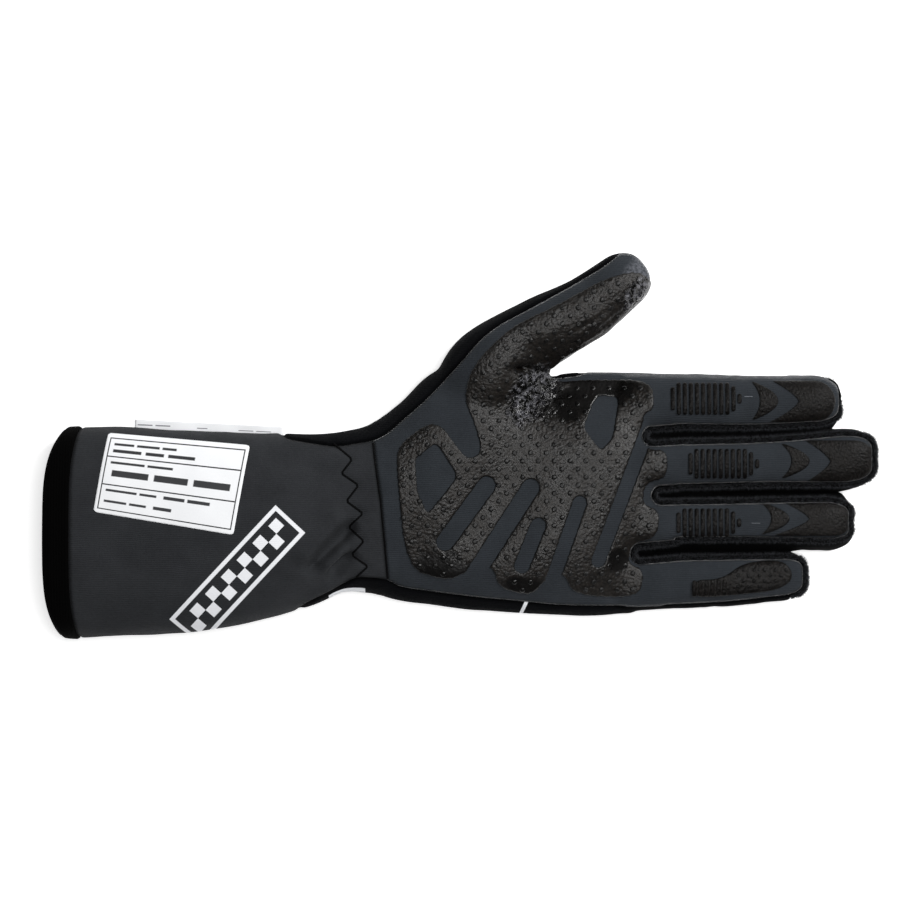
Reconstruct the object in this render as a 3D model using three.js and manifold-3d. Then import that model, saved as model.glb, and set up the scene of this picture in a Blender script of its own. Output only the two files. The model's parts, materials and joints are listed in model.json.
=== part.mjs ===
// A long-cuffed racing glove for the left hand, lying on its back with the palm up.
// Lengths are millimetres. +X runs from the cuff to the finger tips, +Y towards the thumb and
// +Z out of the palm. The origin is on the surface that the glove lies on, under its middle.
// The glove is a hollow skin of cloth: a cuff that is open at its mouth, a hand and five fingers.
// The skin is cut along its seams into the panels that it is sewn from.
import * as THREE from "three";
import { mergeVertices } from "three/addons/utils/BufferGeometryUtils.js";
import Module from "manifold-3d";

const wasm = await Module();
wasm.setup();

// Driving sizes
const CLOTH = 1.6; // thickness of the skin
const SEAM_GAP = 0.3; // gap between two panels along a seam
const SEAM_HEIGHT = 10; // height of the side seams, where they lie under the outline
const THUMB_SEAM = { fromY: 28, slope: 0.31 }; // the thumb's seam climbs with the raised thumb
const GUSSET_FOOT = 6; // height at which the finger side walls meet the back of the hand
const WELT = { width: 1.3, rise: 1.1 }; // raised seam edge round the fingers
const GRIP = { lift: 0.3, thickness: 0.8 }; // printed grips stand on the palm
const LABEL = { lift: 0.3, thickness: 0.7 };
const PLATE_MARGIN = 0.7; // how far the grips and labels stay inside the palm's seam
const BINDING = { width: 10.5, rise: 0.7, lining: 2.4 }; // band round the mouth of the cuff
const BACK_SEAM_X = -70; // where the back of the hand meets the back of the cuff
const TALL = 80; // taller than the glove
const FAR = 400; // wider than the glove
const HAND_SIDES = 28;
const FINGER_SIDES = 12;

// Where the outline lies in the palm's plane, the cuff and hand are this wide and this high.
// thumbSide and littleSide are the two edges, top is the height above the surface.
const HAND_COLUMNS = ["x", "thumbSide", "littleSide", "top"];
const HAND = [
  { x: -172, thumbSide: 6.6, littleSide: -76.2, top: 38 },
  { x: -144, thumbSide: 7.4, littleSide: -76.6, top: 38 },
  { x: -120, thumbSide: 6.6, littleSide: -75.7, top: 37.5 },
  { x: -96, thumbSide: 5.2, littleSide: -73.6, top: 36.5 },
  { x: -72, thumbSide: 4.4, littleSide: -68, top: 34.5 },
  { x: -56, thumbSide: 4.6, littleSide: -63.2, top: 32 },
  { x: -46, thumbSide: 5.6, littleSide: -58.8, top: 30.5 },
  { x: -36, thumbSide: 8.2, littleSide: -59.2, top: 29.5 },
  { x: -24, thumbSide: 16.6, littleSide: -62.2, top: 29.5 },
  { x: -12, thumbSide: 28, littleSide: -63.8, top: 30 },
  { x: 0, thumbSide: 33, littleSide: -65.6, top: 30 },
  { x: 16, thumbSide: 30.5, littleSide: -66.8, top: 29.5 },
  { x: 36, thumbSide: 29.2, littleSide: -68, top: 28 },
  { x: 56, thumbSide: 29.4, littleSide: -68.4, top: 25.5 },
  { x: 72, thumbSide: 28.8, littleSide: -67.2, top: 20.5 },
  { x: 84, thumbSide: 28, littleSide: -65, top: 17 },
];
// Where the sections of the cuff and hand stand
const HAND_X = [
  -172, -156, -134, -112, -92, -78, -68, -60, -52, -45, -38, -31, -24, -14, -2, 12, 26, 38, 50, 62,
  72, 84,
];

// The middle line of each finger, its half width, and the heights of its top and underside.
const FINGER_COLUMNS = ["along", "x", "y", "half", "top", "under"];
const FINGERS = {
  index: {
    tip: 13.2,
    rows: [
      { x: 46, y: 16.9, half: 8, top: 15, under: 4 },
      { x: 70, y: 16.9, half: 12.2, top: 22, under: -1.5 },
      { x: 85, y: 16.8, half: 12.2, top: 21.5, under: -1 },
      { x: 120, y: 16.3, half: 11.7, top: 19.5, under: 0.5 },
      { x: 140, y: 16.7, half: 11.1, top: 18.5, under: 2 },
    ],
  },
  middle: {
    tip: 14,
    rows: [
      { x: 46, y: -7.6, half: 8, top: 15, under: 4 },
      { x: 70, y: -7.6, half: 11.6, top: 22.5, under: -1.5 },
      { x: 90, y: -7.6, half: 11.6, top: 22, under: -1 },
      { x: 125, y: -7, half: 11, top: 20, under: 0.5 },
      { x: 153.5, y: -6.3, half: 12, top: 19, under: 2.5 },
    ],
  },
  ring: {
    tip: 12.6,
    rows: [
      { x: 46, y: -31, half: 8, top: 15, under: 4 },
      { x: 70, y: -31, half: 11.1, top: 22, under: -1.5 },
      { x: 90, y: -31.1, half: 11.1, top: 21.5, under: -1 },
      { x: 125, y: -30.9, half: 11.4, top: 19.5, under: 0.5 },
      { x: 145.8, y: -31, half: 11.7, top: 18.5, under: 2.5 },
    ],
  },
  little: {
    tip: 11.6,
    rows: [
      { x: 44, y: -54, half: 8, top: 14, under: 4 },
      { x: 68, y: -55.1, half: 12.1, top: 20, under: -1.5 },
      { x: 85, y: -54.9, half: 11.8, top: 19.5, under: -0.5 },
      { x: 110, y: -53.6, half: 10.5, top: 17.5, under: 1 },
      { x: 128, y: -52.4, half: 9.4, top: 16.5, under: 2.5 },
    ],
  },
  thumb: {
    tip: 11.4,
    rows: [
      { x: -6, y: 13, half: 10, top: 22, under: 3 },
      { x: 9, y: 27.8, half: 17.4, top: 31, under: -1 },
      { x: 31.4, y: 45, half: 14, top: 33, under: 4 },
      { x: 50, y: 54.9, half: 12.4, top: 33, under: 9 },
      { x: 64.4, y: 65, half: 11.2, top: 33, under: 12.5 },
    ],
  },
};
const FINGER_STEPS = 5; // sections along a finger
const TIP_STEPS = 3; // sections round a finger tip
const TIP_FULLNESS = 0.72; // 1 is a round tip, and less is a squarer one

// Dents and folds of the palm side. Each is a ridge, or a dent if rise is negative, with its middle
// at x, y, its length along the bearing, in degrees from +X, and its width across it.
const FOLDS = [
  { name: "thenar mound", x: 12, y: 20, bearing: 40, length: 46, width: 30, rise: 2.5 },
  { name: "palm hollow", x: 18, y: -20, bearing: 70, length: 60, width: 34, rise: -3 },
  { name: "little side mound", x: 0, y: -46, bearing: 10, length: 60, width: 26, rise: 1.2 },
  { name: "long wrist fold", x: -58, y: -42, bearing: 42, length: 44, width: 9, rise: -2.2 },
  { name: "short wrist fold", x: -50, y: -52, bearing: 30, length: 26, width: 7, rise: -1.6 },
  { name: "upper wrist fold", x: -56, y: -10, bearing: -24, length: 34, width: 9, rise: -1.2 },
  { name: "thumb crease", x: 34, y: 31, bearing: -50, length: 26, width: 9, rise: -4 },
];

// The seam of the palm panel, as it is seen from above. Past the glove's outline the panel reaches
// down to SEAM_HEIGHT instead.
const PALM_SEAM = [
  [-172, 14], [-76, 12], [-70.5, 3.2], [-59, 1.2], [-49, -0.4], [-40, 1.1], [-34.5, 2], [-29, 4.4],
  [-19.5, 13], [-13.5, 18], [0.5, 33], [8, 42], [15.5, 48], [26, 53.4], [44.5, 63.6], [59, 71.6],
  [65, 74.6], [71, 83], [86, 72], [62, 38], [36, 28.6], [38, 27], [49.5, 28.2], [54, 34], [70, 34],
  [70, 12], [71.5, 0], [74.5, -14], [74.5, -26], [65.5, -38], [65.5, -48], [70, -63.8],
  [40.5, -64.4], [26, -62.8], [6.5, -61], [-13.5, -58.4], [-23.5, -57], [-28.5, -53.8], [-37, -53.2],
  [-41.5, -52.8], [-48.5, -57.3], [-52.5, -59.5], [-64, -65], [-76, -80], [-172, -84],
];
// How far the seam of each finger's front lies inside the finger's outline.
const FRONT_SEAM = {
  index: { thumbSide: -6, littleSide: 2.5, tip: 1.2 },
  middle: { thumbSide: 2.5, littleSide: 2.5, tip: 2.2 },
  ring: { thumbSide: 2.5, littleSide: 3.8, tip: 2.6 },
  little: { thumbSide: 1.6, littleSide: 1.6, tip: 1.8 },
};
// The end of the hand, which runs through the forks between the fingers.
const HAND_END = [[78, 34], [78, 12], [75, 5], [77, -7], [79, -19], [76, -31], [70, -43], [70, -72]];
const WRIST_SEAM = [[-34.6, 20], [-34.4, 2], [-31, -24], [-28.4, -54], [-28, -75]];
const MOUTH = { middle: -166.8, edge: -157, y: -36, halfWidth: 44 }; // the mouth's curved edge

// The printed grips
const PALM_GRIP = [
  [-9, 11], [-24, 0], [-25, -8], [-21, -49], [-5, -54], [2, -51], [13, -47], [16, -57], [29, -60],
  [34, -54], [41, -50], [46, -60], [72, -61], [74, -50], [67, -47], [69, -39], [79, -37], [80, -26],
  [73, -24], [74, -15], [83, -13], [83, -2], [74, -2], [73, 12], [78, 14], [77, 26], [50, 26],
  [40, 25], [36, 28.5], [62, 38], [80, 58], [76, 66], [70, 69], [58, 66], [39, 55.5], [20, 46.5],
  [5, 31], [2, 18], [6, 9], [9, -2], [6, -5], [2, -5],
];
const HEEL_WINDOW = [[-10, 0], [-1, -12], [-8, -23], [-13, -26], [-17, -12], [-17, -5]];
const PALM_SLOTS = [
  { name: "heel slot", x1: 11, y1: -16, x2: -5.5, y2: -38.5, width: 7 },
  { name: "first gap", x1: 28.5, y1: -17, x2: 2, y2: -58, width: 7 },
  { name: "middle slot", x1: 31.5, y1: -32, x2: 25, y2: -48, width: 6 },
  { name: "second gap", x1: 48, y1: -23, x2: 35, y2: -60, width: 5.5 },
  { name: "long gap", x1: 55.5, y1: -46, x2: 77, y2: 11, width: 5.5 },
  { name: "index window", x1: 59, y1: 14.5, x2: 55.5, y2: 3, width: 9 },
];
const RIB_PADS = [
  { name: "grip_index_ribs", x: 98.5, y: 18.5, length: 28, width: 13 },
  { name: "grip_middle_ribs", x: 106, y: -7.5, length: 29, width: 12 },
  { name: "grip_ring_ribs", x: 100, y: -31, length: 26.5, width: 11.5 },
];
// A crescent has its two horns at x, and its inner and outer edges bulge past them.
const CRESCENTS = [
  { name: "grip_index_crescent", x: 117.5, y: 17.6, half: 7.3, inner: 2.5, outer: 10 },
  { name: "grip_middle_crescent", x: 129, y: -6.8, half: 6.9, inner: 4, outer: 11 },
  { name: "grip_ring_crescent", x: 121, y: -29.8, half: 6.2, inner: 4, outer: 11 },
];
// A tip pad has its two horns at hornX, its notch at notchX, and ends round the finger tip.
const TIP_PADS = [
  { name: "grip_index_tip", hornX: 129, notchX: 136, endX: 151, y: 17.4, half: 7.2 },
  { name: "grip_middle_tip", hornX: 142, notchX: 148.5, endX: 165, y: -6.2, half: 7.2 },
  { name: "grip_ring_tip", hornX: 136, notchX: 140, endX: 156.5, y: -28.6, half: 6.4 },
];
const LITTLE_GRIP = [
  [93, -54], [105, -53.5], [114, -47], [129, -46], [133, -50], [133, -54.5], [127, -58],
  [114, -59.6], [93, -61.2],
];

// The white patches on the cuff
const PATCH = [[-139.5, 4.3], [-83.2, -0.6], [-89.3, -35.2], [-144.6, -26]];
const SIDE_TAB = {
  fromX: -130, toX: -70.6, outerY: 10.2, taper: 3, tuck: -6, seat: 10.2, thickness: 0.8,
};

const COLOURS = {
  palmCloth: { color: 0x343b42, roughness: 0.9 },
  cuffCloth: { color: 0x34373a, roughness: 0.92 },
  backCloth: { color: 0x0d0d0f, roughness: 0.9 },
  binding: { color: 0x070708, roughness: 0.95 },
  grip: { color: 0x2a2624, roughness: 0.45 },
  label: { color: 0xf2f3f5, roughness: 0.7 },
};

// Rows of a table, joined smoothly: gives the row at any place along its first column.
function smoothTable(rows, columns) {
  const places = rows.map((row) => row[columns[0]]);
  const values = rows.flatMap((row) => columns.map((column) => row[column]));
  const curve = new THREE.CubicInterpolant(places, values, columns.length);
  return (place) => {
    const found = curve.evaluate(place);
    return Object.fromEntries(columns.map((column, i) => [column, found[i]]));
  };
}

// How far the folds lift the palm side at a place.
function foldRise(x, y) {
  return FOLDS.reduce((sum, fold) => {
    const bearing = THREE.MathUtils.degToRad(fold.bearing);
    const along = (x - fold.x) * Math.cos(bearing) + (y - fold.y) * Math.sin(bearing);
    const across = (y - fold.y) * Math.cos(bearing) - (x - fold.x) * Math.sin(bearing);
    const spread = ((2 * along) / fold.length) ** 2 + ((2 * across) / fold.width) ** 2;
    return sum + fold.rise * Math.exp(-spread);
  }, 0);
}

// A closed solid from a three.js geometry.
function solid(geometry) {
  const bare = new THREE.BufferGeometry()
    .setAttribute("position", geometry.getAttribute("position"))
    .setIndex(geometry.getIndex());
  const merged = mergeVertices(bare, 1e-4);
  return new wasm.Manifold(
    new wasm.Mesh({
      numProp: 3,
      vertProperties: merged.getAttribute("position").array,
      triVerts: new Uint32Array(merged.getIndex().array),
    }),
  );
}

// A tube through sections. Each section stands upright on its line, and is a rounded box in shape:
// its middle at x, y, its bearing, half width, top and underside. grow swells it on all sides, and the
// surface that the glove lies on cuts it flat.
function tube(sections, sides, grow) {
  const rows = sections.length - 1;
  const geometry = new THREE.CylinderGeometry(1, 1, 1, sides, rows).toNonIndexed();
  const position = geometry.getAttribute("position");
  for (let i = 0; i < position.count; i++) {
    const section = sections[Math.round((position.getY(i) + 0.5) * rows)];
    const reach = Math.hypot(position.getX(i), position.getZ(i));
    const angle = Math.atan2(position.getX(i), position.getZ(i));
    const waist = section.under + (section.top - section.under) * 0.42;
    const half = (section.half + grow) * section.shrink;
    const above = (section.top - waist + grow) * section.shrink;
    const below = (waist - section.under + grow) * section.shrink;
    const across = half * Math.sign(Math.cos(angle)) * Math.abs(Math.cos(angle)) ** 0.76 * reach;
    const up = Math.sin(angle) > 0 ? above : below;
    const power = Math.sin(angle) > 0 ? 0.8 : 0.66;
    const x = section.x - Math.sin(section.bearing) * across;
    const y = section.y + Math.cos(section.bearing) * across;
    const height = waist + up * Math.sign(Math.sin(angle)) * Math.abs(Math.sin(angle)) ** power * reach;
    const lift = foldRise(x, y) * Math.max(0, Math.sin(angle)) * section.shrink * reach;
    position.setXYZ(i, x, y, Math.max(height + lift, -grow));
  }
  return solid(mergeVertices(geometry.deleteAttribute("normal").deleteAttribute("uv"), 1e-4));
}

// Sections of the cuff and hand. The skin's inside starts further out, so that the mouth is open.
function handSections(grow) {
  const table = smoothTable(HAND, HAND_COLUMNS);
  return HAND_X.map((x, i) => {
    const { thumbSide, littleSide, top } = table(x);
    return {
      x: i === 0 && grow < 0 ? x - 5 : x,
      y: (thumbSide + littleSide) / 2,
      half: (thumbSide - littleSide) / 2,
      top,
      under: -2.5,
      bearing: 0,
      shrink: 1,
    };
  });
}

// Sections of a finger, evenly along its line, and then round its tip.
function fingerSections(finger, grow) {
  let along = 0;
  const rows = finger.rows.map((row, i) => {
    const before = finger.rows[i - 1] ?? row;
    along += Math.hypot(row.x - before.x, row.y - before.y);
    return { ...row, along };
  });
  const table = smoothTable(rows, FINGER_COLUMNS);
  const sections = [];
  for (let i = 0; i <= FINGER_STEPS; i++) {
    const here = table((along * i) / FINGER_STEPS);
    const ahead = table(Math.min(along, (along * (i + 0.5)) / FINGER_STEPS));
    const behind = table(Math.max(0, (along * (i - 0.5)) / FINGER_STEPS));
    sections.push({ ...here, bearing: Math.atan2(ahead.y - behind.y, ahead.x - behind.x), shrink: 1 });
  }
  const last = sections.at(-1);
  for (let i = 1; i <= TIP_STEPS; i++) {
    const turn = (Math.PI / 2) * (i / (TIP_STEPS + 0.35));
    const reach = (finger.tip + grow) * Math.sin(turn);
    sections.push({
      ...last,
      x: last.x + Math.cos(last.bearing) * reach,
      y: last.y + Math.sin(last.bearing) * reach,
      shrink: Math.cos(turn) ** TIP_FULLNESS,
    });
  }
  return sections;
}

// An upright prism over an outline, from one height to another.
function prism(outline, low, high) {
  const shape = new THREE.Shape(outline.map(([x, y]) => new THREE.Vector2(x, y)));
  const geometry = new THREE.ExtrudeGeometry(shape, { depth: high - low, bevelEnabled: false });
  return solid(geometry.translate(0, 0, low));
}

// An outline moved outwards along its normals, or inwards if grow is negative.
function grown(outline, grow) {
  const turn = THREE.ShapeUtils.isClockWise(outline.map(([x, y]) => new THREE.Vector2(x, y))) ? 1 : -1;
  return outline.map(([x, y], i) => {
    const [beforeX, beforeY] = outline.at(i - 1);
    const [afterX, afterY] = outline[(i + 1) % outline.length];
    const first = new THREE.Vector2(beforeY - y, x - beforeX).normalize();
    const second = new THREE.Vector2(y - afterY, afterX - x).normalize();
    const normal = first.clone().add(second);
    const mitre = Math.min(2, 1 / Math.max(0.35, normal.length() / 2) ** 2);
    normal.multiplyScalar(0.5 * mitre * grow * turn);
    return [x + normal.x, y + normal.y];
  });
}

// A slot with round ends, as an outline.
function slotOutline({ x1, y1, x2, y2, width }) {
  const bearing = Math.atan2(y2 - y1, x2 - x1);
  const round = (x, y, from) =>
    [0, 1, 2, 3, 4].map((i) => {
      const angle = bearing + from + (Math.PI * i) / 4;
      return [x + (Math.cos(angle) * width) / 2, y + (Math.sin(angle) * width) / 2];
    });
  return [...round(x2, y2, -Math.PI / 2), ...round(x1, y1, Math.PI / 2)];
}

// Everything on the finger side of a line that runs across the glove, as a prism.
function beyond(line, shift) {
  const moved = line.map(([x, y]) => [x + shift, y]);
  const [startX, startY] = moved[0];
  const [endX, endY] = moved.at(-1);
  const above = [[FAR, startY + FAR], [startX, startY + FAR]];
  const below = [[endX, endY - FAR], [FAR, endY - FAR]];
  return prism([...above, ...moved, ...below], -TALL, TALL);
}

// The whole glove as one solid, swollen or shrunk by grow.
function gloveSolid(grow) {
  const handEnd = beyond(HAND_END, grow);
  const hand = tube(handSections(grow), HAND_SIDES, grow).subtract(handEnd);
  return Object.values(FINGERS).reduce(
    (whole, finger) => whole.add(tube(fingerSections(finger, grow), FINGER_SIDES, grow)),
    hand,
  );
}

// The outline of a finger's front panel, grown by grow.
function fingerFront(name, grow) {
  const seam = FRONT_SEAM[name];
  const sections = fingerSections(FINGERS[name], 0);
  const kept = sections.filter((section) => section.x > 56);
  const side = (section, hand, inset) => {
    const root = section === kept[0] ? 5 : 0; // the strip starts narrow, inside the palm's outline
    const edge = inset * (section.shrink ** 2 * 0.6 + 0.4);
    const reach = section.half * section.shrink - edge - root + grow;
    const inwards = section.shrink < 1 ? seam.tip * (1 - section.shrink) - grow * (1 - section.shrink) : 0;
    return [section.x - inwards, section.y + hand * Math.max(reach, 0.8)];
  };
  return [
    ...kept.map((section) => side(section, -1, seam.littleSide)),
    ...kept.map((section) => side(section, 1, seam.thumbSide)).reverse(),
  ];
}

// The part of the glove that the palm's cloth covers, grown by grow.
function palmSide(grow) {
  const low = SEAM_HEIGHT - grow;
  const { fromY, slope } = THUMB_SEAM;
  const climb = Math.hypot(1, slope);
  const upright = Object.keys(FRONT_SEAM).reduce(
    (whole, name) => whole.add(prism(fingerFront(name, grow), low, TALL)),
    prism(grown(PALM_SEAM, grow), low, TALL),
  );
  return upright.trimByPlane([0, -slope / climb, 1 / climb], (low - slope * fromY) / climb);
}

// The band of the glove that lies along the mouth of its cuff, up to a distance from the mouth's edge.
function mouthBand(from, to) {
  const edge = (shift) =>
    [-1, -0.88, -0.72, -0.5, 0, 0.5, 0.72, 0.88, 1].map((share) => [
      MOUTH.middle + (MOUTH.edge - MOUTH.middle) * share ** 4 + shift,
      MOUTH.y - share * MOUTH.halfWidth,
    ]);
  return beyond(edge(from), 0).subtract(beyond(edge(to), 0));
}

// The space round one gap between two fingers.
function gussetSpace(firstName, secondName, grow) {
  const first = fingerSections(FINGERS[firstName], 0).filter((section) => section.x > 56);
  const second = fingerSections(FINGERS[secondName], 0).filter((section) => section.x > 56);
  const endX = 20;
  const line = (sections) => [
    ...sections.map((section) => [section.x, section.y]),
    [sections.at(-1).x + endX, sections.at(-1).y],
  ];
  return prism(grown([...line(second), ...line(first).reverse()], grow), GUSSET_FOOT - grow, TALL);
}

const outside = gloveSolid(0);
const inside = gloveSolid(-CLOTH);
const skin = outside.subtract(inside);
const half = SEAM_GAP / 2;

const wristUp = beyond(WRIST_SEAM, half);
const wristDown = beyond(WRIST_SEAM, -half);
const backUp = beyond([[BACK_SEAM_X, 0], [BACK_SEAM_X, -40]], half);
const backDown = beyond([[BACK_SEAM_X, 0], [BACK_SEAM_X, -40]], -half);
const clearOfBinding = mouthBand(BINDING.width + SEAM_GAP, FAR);

const front = skin.intersect(palmSide(-half));
const rear = skin.subtract(palmSide(half));

// The welt stands up along the edge of the finger fronts.
const weltBand = palmSide(half + WELT.width).subtract(palmSide(half));
const welt = gloveSolid(WELT.rise).subtract(inside).intersect(weltBand);

const GUSSETS = [
  { name: "gusset_index_middle", first: "index", second: "middle" },
  { name: "gusset_middle_ring", first: "middle", second: "ring" },
  { name: "gusset_ring_little", first: "ring", second: "little" },
];

const pieces = [];
// Each piece is the biggest body of its cut, without the crumbs that a seam can leave.
function piece(name, made, colour) {
  const bodies = made.simplify(0.06).decompose();
  pieces.push({ name, made: bodies.sort((a, b) => b.volume() - a.volume())[0], colour });
}

piece("palm_panel", front.intersect(wristUp), COLOURS.palmCloth);
piece("cuff_front", front.subtract(wristDown).intersect(clearOfBinding), COLOURS.cuffCloth);
let backOfHand = rear.intersect(backUp);
for (const { name, first, second } of GUSSETS) {
  const space = gussetSpace(first, second, -half);
  piece(name, rear.intersect(space).add(welt.intersect(space)), COLOURS.backCloth);
  backOfHand = backOfHand.subtract(gussetSpace(first, second, half));
}
piece("back_panel", backOfHand, COLOURS.backCloth);
piece("cuff_back", rear.subtract(backDown).intersect(clearOfBinding), COLOURS.backCloth);
const bindingRing = gloveSolid(BINDING.rise).subtract(gloveSolid(-BINDING.lining));
const aboveFloor = bindingRing.trimByPlane([0, 0, 1], 0);
piece("cuff_binding", aboveFloor.intersect(mouthBand(0, BINDING.width)), COLOURS.binding);

// What lies on the cloth is a thin plate between two swollen copies of the glove.
const gripLayer = gloveSolid(GRIP.lift + GRIP.thickness).subtract(gloveSolid(GRIP.lift));
const labelLayer = gloveSolid(LABEL.lift + LABEL.thickness).subtract(gloveSolid(LABEL.lift));
const clearOfSeams = palmSide(-PLATE_MARGIN);
function plate(layer, outline) {
  return layer.intersect(prism(outline, SEAM_HEIGHT + 1, TALL)).intersect(clearOfSeams);
}

const openings = [HEEL_WINDOW, ...PALM_SLOTS.map(slotOutline)];
const palmGrip = openings.reduce(
  (left, outline) => left.subtract(prism(outline, 0, TALL)),
  plate(gripLayer, PALM_GRIP),
);
piece("grip_palm", palmGrip, COLOURS.grip);
for (const { name, x, y, length, width } of RIB_PADS) {
  const slot = { x1: x - (length - width) / 2, y1: y, x2: x + (length - width) / 2, y2: y, width };
  piece(name, plate(gripLayer, slotOutline(slot)), COLOURS.grip);
}
for (const { name, x, y, half: horn, inner, outer } of CRESCENTS) {
  const arc = (bulge) =>
    [-1, -0.5, 0, 0.5, 1].map((share) => [x + bulge * (1 - share ** 2), y + share * horn]);
  piece(name, plate(gripLayer, [...arc(outer), ...arc(inner).slice(1, -1).reverse()]), COLOURS.grip);
}
for (const { name, hornX, notchX, endX, y, half: horn } of TIP_PADS) {
  const round = [-1, -0.6, -0.2, 0.2, 0.6, 1].map((share) => [
    endX - horn + horn * Math.cos((share * Math.PI) / 2),
    y + horn * Math.sin((share * Math.PI) / 2),
  ]);
  piece(name, plate(gripLayer, [[hornX, y - horn], ...round, [hornX, y + horn], [notchX, y]]), COLOURS.grip);
}
piece("grip_little", plate(gripLayer, LITTLE_GRIP), COLOURS.grip);
piece("label_patch", plate(labelLayer, PATCH), COLOURS.label);

// The side tab is a flat strip of cloth, sewn into the side seam.
const { fromX, toX, outerY, taper, tuck, seat, thickness } = SIDE_TAB;
const tabOutline = [[fromX, outerY], [fromX, tuck], [toX, tuck], [toX, outerY - taper]];
const tab = prism(tabOutline, seat, seat + thickness).subtract(gloveSolid(LABEL.lift));
piece("side_tab", tab, COLOURS.label);

const glove = new THREE.Group();
for (const { name, made, colour } of pieces) {
  const mesh = made.getMesh();
  const geometry = new THREE.BufferGeometry()
    .setAttribute("position", new THREE.BufferAttribute(mesh.vertProperties, 3))
    .setIndex(new THREE.BufferAttribute(mesh.triVerts, 1));
  const node = new THREE.Mesh(geometry, new THREE.MeshStandardMaterial(colour));
  node.name = name;
  glove.add(node);
}

export default glove;
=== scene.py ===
# A long-cuffed racing glove for the left hand, lying on its back with the palm up.
# Lengths are millimetres while a piece is made, and each finished piece is scaled to metres.
# +X runs from the cuff to the finger tips, +Y towards the thumb and +Z out of the palm.
import json
import math

import bmesh
import bpy
import numpy as np
from mathutils import Matrix, Vector, noise
from mathutils.bvhtree import BVHTree

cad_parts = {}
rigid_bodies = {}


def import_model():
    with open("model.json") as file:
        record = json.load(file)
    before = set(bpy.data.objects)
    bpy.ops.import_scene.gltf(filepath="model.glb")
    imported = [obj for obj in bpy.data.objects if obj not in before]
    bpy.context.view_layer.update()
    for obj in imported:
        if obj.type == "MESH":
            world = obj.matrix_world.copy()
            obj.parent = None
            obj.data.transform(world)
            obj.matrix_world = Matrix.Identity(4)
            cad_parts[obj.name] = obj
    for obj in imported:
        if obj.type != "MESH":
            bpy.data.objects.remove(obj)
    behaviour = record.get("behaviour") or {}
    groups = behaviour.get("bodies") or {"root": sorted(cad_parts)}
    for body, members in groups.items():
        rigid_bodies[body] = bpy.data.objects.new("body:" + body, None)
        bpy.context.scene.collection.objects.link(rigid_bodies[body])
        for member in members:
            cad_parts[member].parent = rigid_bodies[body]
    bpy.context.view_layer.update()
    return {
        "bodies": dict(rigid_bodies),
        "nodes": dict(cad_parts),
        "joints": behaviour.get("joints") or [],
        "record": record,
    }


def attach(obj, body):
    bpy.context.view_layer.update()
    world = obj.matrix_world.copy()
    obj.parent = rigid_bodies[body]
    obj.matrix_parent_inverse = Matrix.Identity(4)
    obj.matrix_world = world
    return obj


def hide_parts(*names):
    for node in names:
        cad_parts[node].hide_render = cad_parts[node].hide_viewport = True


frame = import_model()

# Driving sizes
METRE = 0.001  # a millimetre in metres
GRAIN = 1.0  # size of the facets of the cloth
CLOTH = 1.3  # thickness of the cloth
SEAM_GAP = 0.05  # gap between two panels along a seam
TUCK, BAND_TUCK = -0.35, -1.5  # a tucked edge runs on under its neighbour, past the seam
PALM_ROLL, CUFF_ROLL, HAND_ROLL, CUFF_BACK_ROLL = 0.55, 0.65, 0.75, 0.85  # how deep each edge rolls in
SEAM_RINGS = (0.3, 0.7, 1.3)  # extra edge loops beside the seams
SEAM_HEIGHT = 8.2  # height of the side seams, where they lie under the outline
THUMB_SEAM_FROM, THUMB_SEAM_SLOPE = 28, 0.28  # the thumb's seam climbs with the raised thumb
GUSSET_FOOT = 6  # height at which the finger side walls meet the back of the hand
WELT_WIDTH, WELT_RISE = 1.45, 1.0  # raised seam edge round the fingers
WELT_RINGS = (0.12, 0.35, 0.65, 0.95, 1.3, 1.55, 1.75)
NAP = {"count": 6000, "length": 1.4, "width": 0.17}  # fibres on each of the three raised seam edges
NAP_LEAN, NAP_SEED = 0.7, 21
PRINT_LIFT, PRINT_THICKNESS = 0.12, 0.5
BAND_WIDTH, BAND_RISE, BAND_THICKNESS = 10.5, 0.6, 2.6
BAND_BEND = 3.8  # bend of its inner edge, so that the band is narrower at the sides of the cuff
BAND_ROLLS = [(1.1, 1.0), (0.6, 0.5)]  # depth and width, at the mouth and at the inner edge
BAND_RINGS = (0.3, 0.6, 1.0, 1.6)
BACK_SEAM_X = -70  # where the back of the hand meets the back of the cuff
WAIST = 0.42  # the widest place of a section, as a share of its height
SIDE_ROUND, TOP_ROUND, UNDER_ROUND = 0.76, 0.8, 0.66  # 1 is an oval section, less is a fuller one
TIP_SHARE = 0.16  # share of a finger's run that rounds off its tip
TIP_FULLNESS, THUMB_FULLNESS = 0.58, 0.8
TIP_SWING = 1.7  # how fast the end of an outer finger's side wall swings outwards
HAND_MESH, FINGER_MESH = (110, 96), (60, 56)  # steps along a tube and round it

# Where the outline lies in the palm's plane: x, thumb side, little side, top
HAND = [
    (-172, 6.6, -76.2, 38), (-144, 7.4, -76.6, 38), (-120, 6.6, -75.7, 37.5), (-96, 5.2, -73.6, 36.5),
    (-72, 4.4, -68, 34.5), (-56, 4.6, -63.2, 32), (-46, 5.6, -58.8, 30.5), (-36, 8.2, -59.2, 29.5),
    (-24, 16.6, -62.2, 29.5), (-12, 28, -63.8, 30), (0, 33, -65.6, 30), (16, 30.5, -66.8, 29.5),
    (36, 29.2, -68, 28), (56, 29.4, -68.4, 25.5), (72, 28.8, -67.2, 20.5), (84, 28, -65, 17),
]
HAND_UNDER = -2.5
HAND_START, HAND_STOP, HAND_ROUND = -172, 68, 5
HAND_END_SHARE, HAND_FULLNESS = 0.06, 0.7  # share of the hand's run that rounds off its end
FORK_FROM = 30  # from this x on, the hand's end is drawn to the forks
# The end of the hand runs through the forks between the fingers: y, x
FORKS = [(-72, 70), (-43, 70), (-31, 76), (-19, 79), (-7, 77), (5, 75), (12, 78), (34, 78)]

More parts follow.
